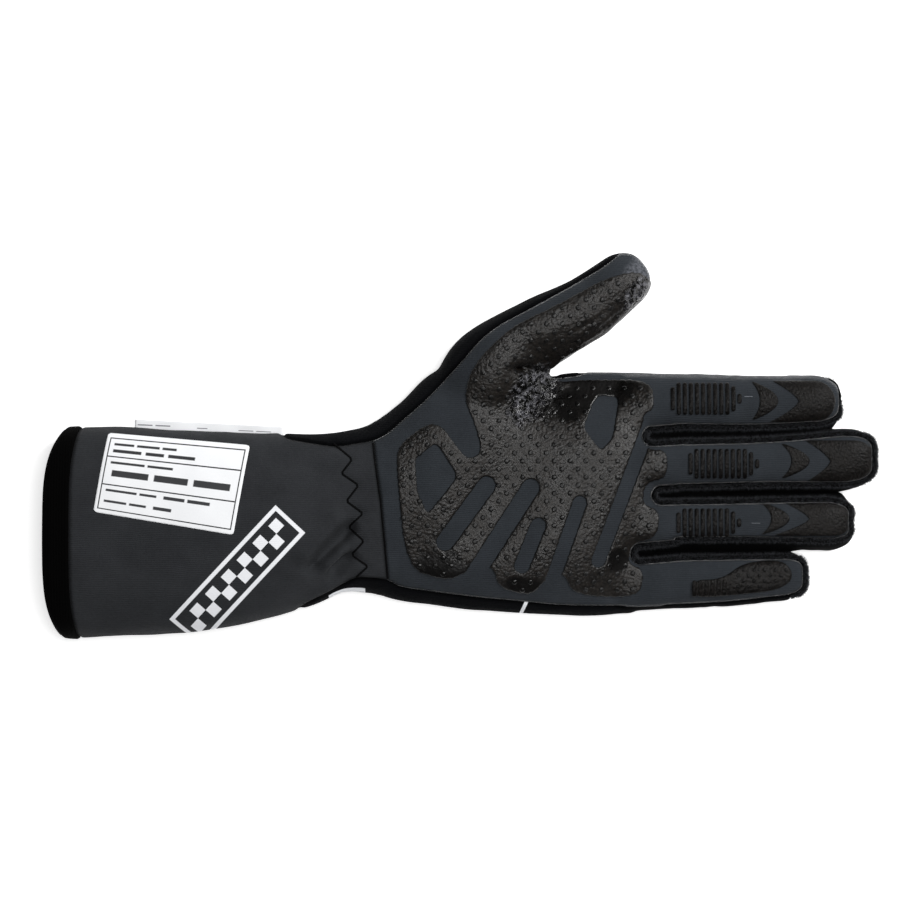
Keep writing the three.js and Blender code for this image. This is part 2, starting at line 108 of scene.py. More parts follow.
# The middle line of each finger: x, y, half width, top, underside
FINGERS = {
    "index": (13.0, [
        (46, 16.9, 8, 15, 4), (70, 17, 11.7, 22, -1.5), (85, 17, 11.6, 21.5, -1),
        (120, 16.6, 11.3, 19.5, 0.5), (140, 17, 10.8, 18.5, 2)]),
    "middle": (13.8, [
        (46, -7.6, 8, 15, 4), (70, -7.6, 11, 22.5, -1.5), (90, -7.6, 10.9, 22, -1),
        (125, -6.8, 11, 20, 0.5), (153.5, -5.6, 12.2, 19, 2.5)]),
    "ring": (12.4, [
        (46, -31, 8, 15, 4), (70, -31.1, 10.6, 22, -1.5), (90, -31.2, 10.5, 21.5, -1),
        (125, -31, 10.8, 19.5, 0.5), (145.8, -31.1, 11.3, 18.5, 2.5)]),
    "little": (11.4, [
        (44, -54, 8, 14, 4), (68, -55, 11.4, 20, -1.5), (85, -54.8, 11, 19.5, -0.5),
        (110, -54, 10.4, 17.5, 1), (128, -52.9, 9.5, 16.5, 2.5)]),
    "thumb": (12, [
        (-6, 13, 10, 22, 3), (9.2, 27.4, 17, 31, -1), (31.6, 44.7, 14, 33, 4),
        (50.2, 54.6, 12.4, 33, 9), (64.2, 65, 11, 33, 12.5)]),
}
# How far the seam of each finger's front lies inside the outline: thumb side, little side, tip
FRONT_SEAM = {
    "index": (-6, 2.5, 0.2), "middle": (2.5, 2.5, 2.0), "ring": (2.5, 4.6, 2.4), "little": (1.8, 1.6, 1.6),
}
ROOT_X, ROOT_INSET = 56, 5
GUSSETS = [("index", "middle"), ("middle", "ring"), ("ring", "little")]

# Broad folds of the palm side: x, y, bearing in degrees, length, width, rise
FOLDS = [
    (12, 20, 40, 46, 30, 2.5), (18, -20, 70, 60, 34, -3), (0, -46, 10, 60, 26, 1.2),
    (-58, -42, 42, 44, 9, -3.2), (-50, -52, 30, 26, 7, -2.2), (-66, -50, 45, 40, 9, 1.8),
    (-56, -10, -24, 34, 9, -1.2), (34, 31, -50, 26, 9, -4), (39, 21, 25, 44, 24, -3.4),
    (66, 4, 80, 44, 24, 1.4),
    (-20, -46, 60, 46, 26, -2.2), (56, -58, 0, 60, 16, -1.6), (100, 17, 0, 90, 9, 0.7),
    (54, 27, 4, 70, 28, -5.2), (2, -42, 70, 40, 30, -1.6), (-18, -50, 80, 34, 24, -2.4),
]
# Sharp creases: from x, y to x, y, half width, depth
CREASES = [
    (-41, -30, -61, -51.5, 2.8, 5.2),
    (-41, -42, -53, -54, 2.4, 4.4),
    (-47, 2, -52, -4, 1.6, 0.8),
    (-39, -50, -49, -57, 1.6, 1.1),
]
CREASE_FADE, LIP_RISE, LIP_AWAY, LIP_WIDTH = 5, 0.55, 1.9, 1.6  # the lip's sizes are shares of a crease's
# Wrinkles: height, size, seed, stretch, and x, y and reach of where they are
WRINKLES = [
    (0.5, 7, 3, (0.35, 1, 1), (-42, -28, 14, 60)), (0.35, 3.6, 4, (1, 1, 1), (-33, -26, 5, 60)),
    (1.9, 5, 5, (1, 0.5, 1), (31, 23, 9, 12)), (1.1, 2.6, 6, (1, 1, 1), (31, 21, 8, 11)),
]
HOLLOWS = [(5.0, (26.5, 29.5, 4.4, 2.1)), (1.2, (36, 29, 7, 1.6))]  # depth, and x, y and reach
STREAKS = {"x": 52, "y": 46, "turn": (0.84, 0.54), "length": 17, "width": 6, "rise": 1.1}  # on the thumb
FINGER_WRINKLE, ZIGZAG_SINK, ZIGZAG_SINK_WIDTH = 0.3, 0.6, 1.2
# Places where the skin is smoothed more, because the tubes join there: x, y, radius
JOINS = [
    (44, 30, 16), (75, 5, 9), (78, -19, 9), (70, -43, 9), (70, -6, 14), (70, -30, 14), (66, -54, 12),
]
SMOOTH_ALL, SMOOTH_JOINS, SMOOTH_PALM = 4, 5, 40  # rounds of smoothing

PALM_SEAM = [
    (-172, 14), (-76, 12), (-70.5, 3.2), (-59, 1.2), (-49, -0.4), (-40, 1.1), (-34.5, 2), (-29, 4.4),
    (-19.5, 13), (-13.5, 18), (0.5, 33), (8, 42), (15.5, 48), (26, 53.4), (44.5, 63.6), (57, 71),
    (62, 74.8), (66, 80), (74, 86), (88, 72), (62, 38), (36, 28.6), (38, 27), (49.5, 28.2), (54, 34),
    (86, 34), (86, -64.2), (70, -64.6), (40.5, -64.4), (26, -62.8), (6.5, -61), (-13.5, -58.4),
    (-23.5, -57), (-28.5, -53.8), (-37, -53.2), (-41.5, -52.8), (-48.5, -57.3), (-52.5, -59.5),
    (-64, -65), (-76, -80), (-172, -84),
]
SLITS = [  # the gaps between the fronts of the fingers: from x, y, half width to x, y, half width
    (77.1, 3.4, 3.4, 90, 4.3, 3.5), (80.7, -20.2, 3.3, 92, -19.6, 3.5), (72.6, -43.5, 3.7, 90, -41.9, 3.7),
]
SLIT_REACH = {
    ("index", "middle"): (80, 154), ("middle", "ring"): (84, 158), ("ring", "little"): (75, 138),
}
SLIT_HEIGHT, SLIT_HALF = 7, -0.12  # low down, neighbouring fingers press into each other
SLIT_FADE, SLIT_TALL, SLIT_BROAD = 6, 5, 2.6  # how the pressing fades along x, z and y
WRIST_SEAM = [(-75, -28), (-54, -28.4), (-24, -31), (2, -34.4), (20, -34.6)]  # y, x
MOUTH_MIDDLE, MOUTH_BEND, MOUTH_Y, MOUTH_HALF = -165, 8.5, -36, 44  # the mouth's curved edge
MOUTH_SHARE = 1.15  # its bend grows no more past this share of the half width
ZIGZAG = [  # the thread's corners
    (-50, 0.6), (-42.4, -5.7), (-46.8, -11.3), (-39.9, -16), (-44.8, -22.3), (-38.1, -27.2),
    (-44, -32.6), (-37.7, -38.2), (-42.8, -43.7), (-36.2, -48.3), (-40.8, -52.6),
]

PALM_PRINT = [
    (-9, 11), (-24, 0), (-25, -8), (-21, -49), (-5, -54), (2, -51), (13, -47), (16, -57), (29, -60),
    (34, -54), (41, -50), (46, -60), (72, -61), (74, -50), (67, -47), (69, -39), (79, -37), (80, -26),
    (73, -24), (74, -15), (83, -13), (83, -2), (74, -2), (73, 12), (78, 14), (77, 26), (50, 26),
    (40, 25), (36, 28.5), (62, 38), (80, 58), (76, 66), (70, 69), (58, 66), (39, 55.5), (20, 46.5),
    (5, 31), (2, 18), (6, 9), (9, -2), (6, -5), (2, -5),
]
HEEL_WINDOW = [(-9, 1), (-0.5, -12.5), (-12.5, -27.5), (-16.5, -19), (-17.5, -5.5)]
INDEX_WINDOW = [(55.7, 19.8), (63.8, 19), (61.2, 3), (56.5, -2.4), (49.5, 6.6), (53.2, 16)]
PALM_SLOTS = [  # from x, y to x, y, width
    (11, -16, -5.5, -38.5, 7), (28.5, -17, 2, -58, 7), (31.5, -32, 25, -48, 6),
    (48, -23, 35, -60, 5.5), (55.5, -46, 77, 11, 5.5),
]
RIB_PADS = [  # x, y, length, width
    ("index", 98.5, 18.5, 28, 13), ("middle", 106, -7.5, 29, 12), ("ring", 100, -31, 26.5, 11.5),
]
RIB_PITCH, RIB_WIDTH, RIB_HEIGHT = 2.42, 1.65, 0.62
# Places of the print, as ellipses: x, y, bearing in degrees, half length, half width
# painted highlights: pale flecks stand in for glints on the crinkled print, which is also more creased and
# glossier there
GLINT_SPOTS = [(29, 20, 55, 15, 9), (71, 60, 62, 9, 4.5)]
# painted shade: the print is painted darker in these places, as where it tilts away from the light; it is
# also smoother and glossier there
SHADE_SPOTS = [(51, 19.5, 14, 25, 9.5), (-7, -48.5, -8, 15, 7), (26, -56.5, 0, 11, 5), (63.5, -46.5, 90, 6, 5)]
THUMB_SHEEN = [(72, 66, 62, 15, 8)]  # a pale sheen is painted on the cloth here
CRESCENTS = [  # x, y, half, inner bulge, outer bulge
    ("index", 116.5, 17.6, 8, 3.5, 11), ("middle", 127.8, -6.4, 7.4, 4.8, 12.2),
    ("ring", 119.8, -29.4, 6.8, 4.8, 12.2),
]
TIP_PADS = [  # horn on the thumb side x, horn on the little side x, notch x, end x, y, half
    ("index", 125, 124, 135.6, 150.4, 17.4, 8.2), ("middle", 138, 138, 148.2, 166.7, -6.6, 8.4),
    ("ring", 128.8, 124.6, 139.8, 157, -29.5, 6.8),
]
LITTLE_PRINT = [
    (93, -54), (105, -53.5), (114, -47), (129, -46), (133, -50), (133, -54.5), (127, -58),
    (114, -59.6), (93, -61.2),
]
LITTLE_DOTS_FROM = 109  # the strip has ribs before this and dots after it
KNIT_ROW, KNIT_LOOP, KNIT_RELIEF = 0.74, 0.62, 0.14
SEAM_SHADE = 0.75  # how dark the cloth is in its seams
FIBRE_SIZE, FIBRE_RELIEF = 0.6, 0.15
SILICONE_ROUGHNESS, SILICONE_RELIEF = (0.34, 0.44), 0.3
DOT_PITCH, DOT_ROW, DOT_RADIUS, DOT_HEIGHT = 6.3, 3.2, 1.0, 0.26
LITTLE_DOT_SIZE = 0.68  # next to a dot of the palm
DOT_INSET, DOT_STEEPEST = 0.9, 0.35  # from the print's edge; and the least upward share of a dot's normal
PAD_HEIGHT = 0.35  # of the crescents and the tips
ZIGZAG_RADIUS, ZIGZAG_DEPTH = 0.46, 0.05
WRIST_THREAD_RADIUS, WRIST_THREAD_DEPTH = 0.4, 0.55
TACKS = {"index_tack": [(113.9, 19.3), (117.2, 19.3)], "ring_tack": [(116.8, -31.2), (120.2, -31.2)]}
TACK_RADIUS, TACK_DEPTH = 0.14, -0.05

# Label, tab and painted bands
CHECK = 4.6  # side of the squares of the chequered band
CHECK_PLACE, STRIPE_PLACE = ((-88, -52), 47), ((25.6, -65.5), 66)  # centre, and bearing in degrees
STRIPE = (-8, 6, -0.7, 0.7)  # along and across its bearing
WHITE_BLOCK = (-52, -37.5, 12.5, 18.5)  # on the wrist's side: x and height
WHITE = (0.86, 0.87, 0.9)
PATCH = [(-144.6, -26), (-89.3, -35.2), (-83.2, -0.6), (-139.5, 4.3)]
PATCH_BARS = [  # plain bars across the label, as shares of it: low, high, then from and to of each
    (0.865, 0.895, (0.06, 0.2), (0.22, 0.38), (0.4, 0.5)),
    (0.775, 0.815, (0.06, 0.26), (0.29, 0.42), (0.45, 0.64)),
    (0.63, 0.66, (0.06, 0.3), (0.32, 0.5)),
    (0.47, 0.55, (0.08, 0.34), (0.38, 0.62), (0.66, 0.92)),
    (0.275, 0.305, (0.06, 0.28), (0.3, 0.42)), (0.27, 0.31, (0.47, 0.62), (0.64, 0.8)),
    (0.135, 0.165, (0.06, 0.22), (0.24, 0.36)), (0.13, 0.17, (0.41, 0.54)),
]
PATCH_FRAME, PATCH_LINES = 0.022, (0.36, 0.72)
RULE_WIDTH, LABEL_ASPECT = 0.0085, 1.7  # the label is so many times longer than it is high
TAB_BARS = [
    (0.56, 0.66, (0.02, 0.12), (0.14, 0.24)), (0.5, 0.58, (0.42, 0.49)), (0.45, 0.53, (0.7, 0.8)),
    (0.44, 0.52, (0.82, 0.92)),
]
TAB = {"from_x": -130, "to_x": -70.6, "outer_y": 10.2, "taper": 3, "tuck": 1.5, "seat": 10.3}

# The view of the photo, from straight above, and the studio, in metres
VIEW = {"x": -0.0036, "y": -0.0020, "height": 2.015, "lens": 200, "sensor": 36}
LIGHTS = {  # place, target, size, power
    "key": ((0.9, 0.6, 0.9), (0, 0, 0.01), 0.5, 14), "top": ((0.12, 0.02, 1.8), (0, 0, 0), 0.55, 15),
}
FLOOR_HALF, FLOOR_DROP, FLOOR_GLOW, WORLD_GLOW = 3, 0.0003, 0.6, 0.12


# Shapes in the palm's plane


def polygon_level(co, outline):
    """How far points lie inside an outline, negative outside it."""
    outline = np.array(outline, float)
    x, y = co[:, 0], co[:, 1]
    nearest = np.full(len(co), 1e9)
    inside = np.zeros(len(co), bool)
    for (ax, ay), (bx, by) in zip(outline, np.roll(outline, -1, axis=0)):
        dx, dy = bx - ax, by - ay
        share = np.clip(((x - ax) * dx + (y - ay) * dy) / (dx * dx + dy * dy), 0, 1)
        nearest = np.minimum(nearest, np.hypot(x - ax - share * dx, y - ay - share * dy))
        if dy:
            inside ^= ((ay > y) != (by > y)) & (x < dx * (y - ay) / dy + ax)
    return np.where(inside, nearest, -nearest)


def line_distance(co, line):
    """The distance of points from a bent line, seen from above."""
    nearest = np.full(len(co), 1e9)
    for (ax, ay), (bx, by) in zip(line, line[1:]):
        dx, dy = bx - ax, by - ay
        share = np.clip(((co[:, 0] - ax) * dx + (co[:, 1] - ay) * dy) / (dx * dx + dy * dy), 0, 1)
        nearest = np.minimum(nearest, np.hypot(co[:, 0] - ax - share * dx, co[:, 1] - ay - share * dy))
    return nearest


def rounded(outline, times=2, share=0.22):
    """An outline with its corners cut off again and again, until they are round."""
    points = np.array(outline, float)
    for _ in range(times):
        after = np.roll(points, -1, axis=0)
        points = np.stack([points + (after - points) * share, after + (points - after) * share], 1)
        points = points.reshape(-1, 2)
    return points


def soft_most(levels, blend=0.8):
    """The highest of several levels, with a soft change from one to the next."""
    return np.logaddexp.reduce(np.array(levels) / blend) * blend


def smooth_rows(table, at):
    """The rows of a table joined smoothly: its other columns, at places along its first."""
    rows = np.array(table, float)
    place, value = rows[:, 0], rows[:, 1:]
    slope = np.gradient(value, place, axis=0)
    at = np.clip(at, place[0], place[-1])
    i = np.clip(np.searchsorted(place, at) - 1, 0, len(place) - 2)
    step = (place[i + 1] - place[i])[:, None]
    t = (at - place[i])[:, None] / step
    ends = value[i] * (1 + 2 * t) * (1 - t) ** 2 + value[i + 1] * t**2 * (3 - 2 * t)
    return ends + step * (slope[i] * t * (1 - t) ** 2 + slope[i + 1] * t**2 * (t - 1))


# The form of the whole glove


def fold_rise(x, y):
    """How much the broad folds raise the palm side."""
    total = np.zeros(len(x))
    for fold_x, fold_y, degrees, length, width, rise in FOLDS:
        bearing = math.radians(degrees)
        along = (x - fold_x) * math.cos(bearing) + (y - fold_y) * math.sin(bearing)
        across = (y - fold_y) * math.cos(bearing) - (x - fold_x) * math.sin(bearing)
        total += rise * np.exp(-((2 * along / length) ** 2) - (2 * across / width) ** 2)
    return total


def section_points(x, y, bearing, half, top, under, narrow, flat, angle):
    """Points of upright sections, rounded boxes in shape."""

    def power(value, exponent):
        return np.sign(value) * np.abs(value) ** exponent

    waist = under + WAIST * (top - under)
    across = half * narrow * power(np.cos(angle), SIDE_ROUND)
    up = np.where(
        np.sin(angle) > 0,
        (top - waist) * power(np.sin(angle), TOP_ROUND),
        (waist - under) * power(np.sin(angle), UNDER_ROUND),
    )
    px, py = x - np.sin(bearing) * across, y + np.cos(bearing) * across
    height = waist + up * flat + fold_rise(px, py) * np.clip(np.sin(angle), 0, 1) * flat
    return np.column_stack([px, py, np.maximum(height, 0)])


def finger_line(name, along):
    """The middle of a finger and its sizes, along the finger and round its tip."""
    tip, rows = FINGERS[name]
    rows = np.array(rows, float)
    run = np.concatenate([[0], np.cumsum(np.hypot(*np.diff(rows[:, :2], axis=0).T))])
    table = np.column_stack([run, rows])
    place = np.clip(along / (1 - TIP_SHARE), 0, 1) * run[-1]
    turn = np.clip((along - 1) / TIP_SHARE + 1, 0, 1) * math.pi / 2
    x, y, half, top, under = smooth_rows(table, place).T
    ahead, behind = smooth_rows(table, place + 0.5), smooth_rows(table, place - 0.5)
    bearing = np.arctan2(ahead[:, 1] - behind[:, 1], ahead[:, 0] - behind[:, 0])
    reach = tip * np.sin(turn)
    narrow = np.cos(turn) ** (THUMB_FULLNESS if name == "thumb" else TIP_FULLNESS)
    return x + np.cos(bearing) * reach, y + np.sin(bearing) * reach, bearing, half, top, under, narrow


def hand_points(along, angle):
    """Points of the hand and the cuff. Their end is drawn to the forks between the fingers."""
    turn = np.clip((along - 1) / HAND_END_SHARE + 1, 0, 1) * math.pi / 2
    x = HAND_START + np.clip(along / (1 - HAND_END_SHARE), 0, 1) * (HAND_STOP - HAND_START)
    thumb_side, little_side, top = smooth_rows(HAND, x).T
    flat = np.cos(turn) ** HAND_FULLNESS
    zero = np.zeros(len(x))
    points = section_points(
        x, (thumb_side + little_side) / 2, zero, (thumb_side - little_side) / 2, top,
        zero + HAND_UNDER, zero + 1, flat, angle,
    )
    forks = np.array(FORKS, float)
    end = np.interp(points[:, 1], forks[:, 0], forks[:, 1])
    share = np.clip((points[:, 0] - FORK_FROM) / (HAND_STOP - FORK_FROM), 0, 1) ** 2
    points[:, 0] += share * (end - HAND_ROUND - HAND_STOP) + HAND_ROUND * np.sin(turn)
    return points


def finger_points(name):
    """A function that gives the points of one finger."""

    def points(along, angle):
        *line, narrow = finger_line(name, along)
        return section_points(*line, narrow, narrow, angle)

    return points


def closed_tube(bm, points, steps, sides):
    """Adds a tube to a mesh: a grid bent round, joined along its side and closed at its ends."""
    part = bmesh.new()
    bmesh.ops.create_grid(part, x_segments=steps, y_segments=sides, size=1)
    flat = np.array([v.co for v in part.verts])
    for vert, place in zip(part.verts, points((flat[:, 0] + 1) / 2, (flat[:, 1] + 1) * math.pi)):
        vert.co = place
    bmesh.ops.remove_doubles(part, verts=part.verts, dist=0.02)
    bmesh.ops.holes_fill(part, edges=[e for e in part.edges if e.is_boundary], sides=0)
    bmesh.ops.recalc_face_normals(part, faces=part.faces)
    made = bpy.data.meshes.new("tube")
    part.to_mesh(made)
    part.free()
    bm.from_mesh(made)
    bpy.data.meshes.remove(made)


def ripple(co, size, seed):
    """A smooth random value at each point, from about -1 to 1."""
    shift = Vector((seed * 17.3, seed * 5.9, seed * 11.7))
    return np.array([noise.noise(Vector(point) / size + shift) for point in co])


def near(co, x, y, reach_x, reach_y=None):
    """1 at a place, falling to 0 past its reach."""
    return np.exp(-((co[:, 0] - x) / reach_x) ** 2 - ((co[:, 1] - y) / (reach_y or reach_x)) ** 2)


def vertex_places(mesh):
    co = np.zeros(len(mesh.vertices) * 3, np.float32)
    mesh.vertices.foreach_get("co", co)
    return co.reshape(-1, 3).astype(float)


def vertex_normals(mesh):
    normal = np.zeros(len(mesh.vertices) * 3, np.float32)
    mesh.vertices.foreach_get("normal", normal)
    return normal.reshape(-1, 3).astype(float)


def set_places(mesh, co):
    mesh.vertices.foreach_set("co", co.astype(np.float32).ravel())
    mesh.update()


def crease_depth(co):
    """Creases with a rolled lip beside them."""
    total = np.zeros(len(co))
    for ax, ay, bx, by, width, depth in CREASES:
        length = math.hypot(bx - ax, by - ay)
        along = ((co[:, 0] - ax) * (bx - ax) + (co[:, 1] - ay) * (by - ay)) / length
        across = ((co[:, 1] - ay) * (bx - ax) - (co[:, 0] - ax) * (by - ay)) / length
        reach = np.clip(along / CREASE_FADE, 0, 1) * np.clip((length - along) / CREASE_FADE, 0, 1)
        valley = np.exp(-((across / width) ** 2))
        lip = np.exp(-(((across + LIP_AWAY * width) / (LIP_WIDTH * width)) ** 2))
        total += reach * depth * (LIP_RISE * lip - valley)
    return total


def close_slits(co):
    """Presses the lower flanks of neighbouring fingers into each other, so that no light shows."""
    for (first, second), (start, stop) in SLIT_REACH.items():
        upper, lower = (np.array(FINGERS[name][1], float) for name in (first, second))
        upper_edge = np.interp(co[:, 0], upper[:, 0], upper[:, 1] - upper[:, 2])
        lower_edge = np.interp(co[:, 0], lower[:, 0], lower[:, 1] + lower[:, 2])
        off = co[:, 1] - (upper_edge + lower_edge) / 2
        weight = np.clip((co[:, 0] - start) / SLIT_FADE, 0, 1) * np.clip((stop - co[:, 0]) / SLIT_FADE, 0, 1)
        weight *= np.exp(-(((co[:, 2] - SLIT_HEIGHT) / SLIT_TALL) ** 4))
        weight *= np.clip(2 - np.abs(off) / SLIT_BROAD, 0, 1)
        co[:, 1] += weight * (np.sign(off) * SLIT_HALF - off)


def smooth(bm, verts, times):
    for _ in range(times):
        bmesh.ops.smooth_vert(bm, verts=verts, factor=0.5, use_axis_x=True, use_axis_y=True, use_axis_z=True)


def streak_rise(co):
    """Fine streaks along the thumb's print."""
    (cos, sin), x, y = STREAKS["turn"], co[:, 0] - STREAKS["x"], co[:, 1] - STREAKS["y"]
    along, across = x * cos + y * sin, y * cos - x * sin
    streaks = ripple(np.column_stack([along * 0.22, across, co[:, 2] * 0.7]), 2.6, 7)
    fade = np.exp(-((along / STREAKS["length"]) ** 2) - (across / STREAKS["width"]) ** 2)
    return STREAKS["rise"] * streaks * fade


def wrinkle_rise(co, normal):
    """How much the unevenness, wrinkles, creases and hollows raise the skin."""
    upward = np.clip(normal[:, 2] + 0.25, 0, 1)
    cuff = np.clip((-36 - co[:, 0]) / 10, 0, 1)
    fingers = np.clip((co[:, 0] - 84) / 8, 0, 1)
    rise = 0.45 * ripple(co, 26, 1) * (0.5 + cuff) + 0.22 * ripple(co, 9, 2) * (0.6 + 0.5 * cuff)
    for height, size, seed, stretch, place in WRINKLES:
        rise += height * ripple(co * stretch, size, seed) * near(co, *place)
    rise -= sum(depth * near(co, *place) for depth, place in HOLLOWS)
    rise += streak_rise(co)
    rise += FINGER_WRINKLE * ripple(co * [1, 0.5, 1], 5, 8) * fingers * np.clip(1 - normal[:, 2], 0, 1)
    rise += crease_depth(co) * upward
    rise -= ZIGZAG_SINK * np.exp(-((line_distance(co, ZIGZAG) / ZIGZAG_SINK_WIDTH) ** 2)) * upward
    return rise


def whole_form():
    """The outside of the whole glove as one skin, with its folds and creases."""
    bm = bmesh.new()
    closed_tube(bm, hand_points, *HAND_MESH)
    for name in FINGERS:
        closed_tube(bm, finger_points(name), *FINGER_MESH)
    mesh = bpy.data.meshes.new("form")
    bm.to_mesh(mesh)
    bm.free()
    form = bpy.data.objects.new("form", mesh)
    bpy.context.scene.collection.objects.link(form)
    remesh = form.modifiers.new("one_skin", "REMESH")
    remesh.mode = "VOXEL"
    remesh.voxel_size = GRAIN
    skin = bpy.data.meshes.new_from_object(form.evaluated_get(bpy.context.evaluated_depsgraph_get()))
    bpy.data.objects.remove(form)
    bm = bmesh.new()
    bm.from_mesh(skin)
    smooth(bm, bm.verts[:], SMOOTH_ALL)
    close = [v for v in bm.verts if any(math.hypot(v.co.x - x, v.co.y - y) < r for x, y, r in JOINS)]
    upper = [v for v in bm.verts if -10 < v.co.x < 76 and v.co.z > 18 and v.normal.z > 0.5]
    smooth(bm, close, SMOOTH_JOINS)
    smooth(bm, upper, SMOOTH_PALM)
    bm.to_mesh(skin)
    bm.free()

    co, normal = vertex_places(skin), vertex_normals(skin)
    co += normal * (wrinkle_rise(co, normal) * np.clip(co[:, 2] / 4, 0, 1))[:, None]
    close_slits(co)
    co[:, 2] = np.maximum(co[:, 2], 0)
    set_places(skin, co)
    return skin


# Panels cut from the form


def slit_level(co):
    """Positive outside the gaps between the fronts of the fingers."""
    levels = []
    for ax, ay, half_from, bx, by, half_to in SLITS:
        along = (co[:, 0] - ax) * (bx - ax) + (co[:, 1] - ay) * (by - ay)
        share = np.clip(along / ((bx - ax) ** 2 + (by - ay) ** 2), 0, 1)
        off = np.hypot(co[:, 0] - ax - share * (bx - ax), co[:, 1] - ay - share * (by - ay))
        levels.append(off - half_from - share * (half_to - half_from))
    return np.min(levels, axis=0)


def palm_plan(co):
    """Positive inside the seam of the palm and of the fronts of the fingers, seen from above."""
    fronts = [polygon_level(co, front) for front in FRONTS]
    return np.minimum(soft_most([polygon_level(co, PALM_SEAM_ROUND), *fronts]), slit_level(co))


def palm_level(co):
    """Positive on the cloth of the palm and of the fronts of the fingers."""
    plan = palm_plan(co)
    climb = math.hypot(1, THUMB_SEAM_SLOPE)
    low = np.where(
        co[:, 1] > THUMB_SEAM_FROM,
        (co[:, 2] - SEAM_HEIGHT - THUMB_SEAM_SLOPE * (co[:, 1] - THUMB_SEAM_FROM)) / climb,
        co[:, 2] - SEAM_HEIGHT,
    )
    return np.minimum(plan, low)


def finger_front(name):
    """The outline of a finger's front panel."""
    thumb_inset, little_inset, tip_inset = FRONT_SEAM[name]
    x, y, _, half, _, _, narrow = finger_line(name, np.linspace(0, 0.995, 60))
    kept = x > ROOT_X
    x, y, half, narrow = x[kept], y[kept], half[kept], narrow[kept]
    root = ROOT_INSET * np.clip(1 - (x - x[0]) / 10, 0, 1)
    x = x - tip_inset * (1 - narrow)
    sides = [np.maximum(half * narrow - inset * (narrow**2 * 0.6 + 0.4) - root, 0.4)
             for inset in (little_inset, thumb_inset)]
    return np.concatenate([np.column_stack([x, y - sides[0]]), np.column_stack([x, y + sides[1]])[::-1]])


def tip_swing(name, x):
    """How far the end of an outer finger's side wall swings outwards round its tip."""
    outward = {"index": 1, "little": -1}.get(name, 0)
    return outward * TIP_SWING * np.maximum(x - FINGERS[name][1][-1][0], 0)


def gap_level(first, second):
    """Positive between the middle lines of two fingers."""

    def line(name):
        x, y, *_ = finger_line(name, np.linspace(0, 1, 40))
        kept = x > ROOT_X
        x, y = np.append(x[kept], x[-1] + 20), np.append(y[kept], y[-1])
        return list(zip(x, y + tip_swing(name, x)))

    outline = line(second) + line(first)[::-1]
    return lambda co: np.minimum(polygon_level(co, outline), co[:, 2] - GUSSET_FOOT)


def welt_fade(co, first, second):
    """1 along a raised seam edge, falling to 0 where it ends at an outer finger's tip."""
    fade = np.ones(len(co))
    for name in (first, second):
        end_x, end_y = FINGERS[name][1][-1][:2]
        swing = tip_swing(name, co[:, 0])
        if name in ("index", "little"):
            outward = 1 if name == "index" else -1
            inside = (end_y + swing - co[:, 1]) * outward / TIP_SWING
            fade = np.where(co[:, 0] > end_x, np.minimum(fade, np.clip(inside / 4, 0, 1)), fade)
    return fade


def wrist_level(co):
    """Positive on the finger side of the wrist seam."""
    seam = np.array(WRIST_SEAM, float)
    return co[:, 0] - np.interp(co[:, 1], seam[:, 0], seam[:, 1])


def mouth_level(co, middle=MOUTH_MIDDLE, bend=MOUTH_BEND):
    """How far a point lies inside the cuff's mouth."""
    share = np.clip((co[:, 1] - MOUTH_Y) / MOUTH_HALF, -MOUTH_SHARE, MOUTH_SHARE)
    return co[:, 0] - middle - bend * share**4


def band_level(co):
    """How far a point lies past the band round the mouth."""
    return mouth_level(co, MOUTH_MIDDLE + BAND_WIDTH, BAND_BEND)


def cut(form, levels, rings=(), margin=SEAM_GAP / 2, margins=()):
    """The part of the form where all levels are positive. Each level is a value for each corner of
    the form, in millimetres. The mesh is laid out along each level in turn, cut straight, and put
    back. Rings are extra cuts, at these distances from the edge. Margins may differ for each level."""
    margins = margins or [margin] * len(levels)
    bm = bmesh.new()
    bm.from_mesh(form)
    outside = np.min(levels, axis=0) < -3  # well past every edge
    place = bm.verts.layers.float_vector.new("place")
    edge_layers = [bm.verts.layers.float.new(f"level_{i}") for i in range(len(levels))]
    for vert, *at_vert in zip(bm.verts, *(level.tolist() for level in levels)):
        vert[place] = vert.co
        for layer, value in zip(edge_layers, at_vert):
            vert[layer] = value
    bmesh.ops.delete(bm, geom=[v for v, out in zip(bm.verts, outside) if out], context="VERTS")
    for layer, inset in zip(edge_layers, margins):
        for vert in bm.verts:
            vert.co = (vert[layer], vert[place][1], vert[place][2])
        for ring in (*sorted(rings, reverse=True), 0):
            bmesh.ops.bisect_plane(
                bm, geom=bm.verts[:] + bm.edges[:] + bm.faces[:], dist=1e-5,
                plane_co=(inset + ring, 0, 0), plane_no=(1, 0, 0), clear_inner=ring == 0,
            )
    edge = bm.verts.layers.float.new("edge")
    for vert in bm.verts:
        vert.co = vert[place]
        vert[edge] = min(vert[layer] for layer in edge_layers) - margin
    bmesh.ops.remove_doubles(bm, verts=bm.verts, dist=0.03)
    bmesh.ops.dissolve_degenerate(bm, edges=bm.edges, dist=0.02)
    for layer_name in ["place"] + [f"level_{i}" for i in range(1, len(levels))]:
        kind = bm.verts.layers.float_vector if layer_name == "place" else bm.verts.layers.float
        kind.remove(kind[layer_name])
    biggest_island(bm)
    mesh = bpy.data.meshes.new("cut")
    bm.to_mesh(mesh)
    bm.free()
    return mesh


def biggest_island(bm):
    """Deletes the crumbs that a cut leaves beside the real piece."""
    seen, islands = set(), []
    for start in bm.verts:
        if start in seen:
            continue
        island, front = {start}, [start]
        while front:
            for edge in front.pop().link_edges:
                for vert in edge.verts:
                    if vert not in island:
                        island.add(vert)
                        front.append(vert)
        seen |= island
        islands.append(island)
    most = max(len(island) for island in islands)
    crumbs = [v for island in islands if len(island) < most * 0.02 for v in island]
    bmesh.ops.delete(bm, geom=crumbs, context="VERTS")


def attribute(mesh, name):
    found = np.zeros(len(mesh.vertices), np.float32)
    mesh.attributes[name].data.foreach_get("value", found)
    return found.astype(float)


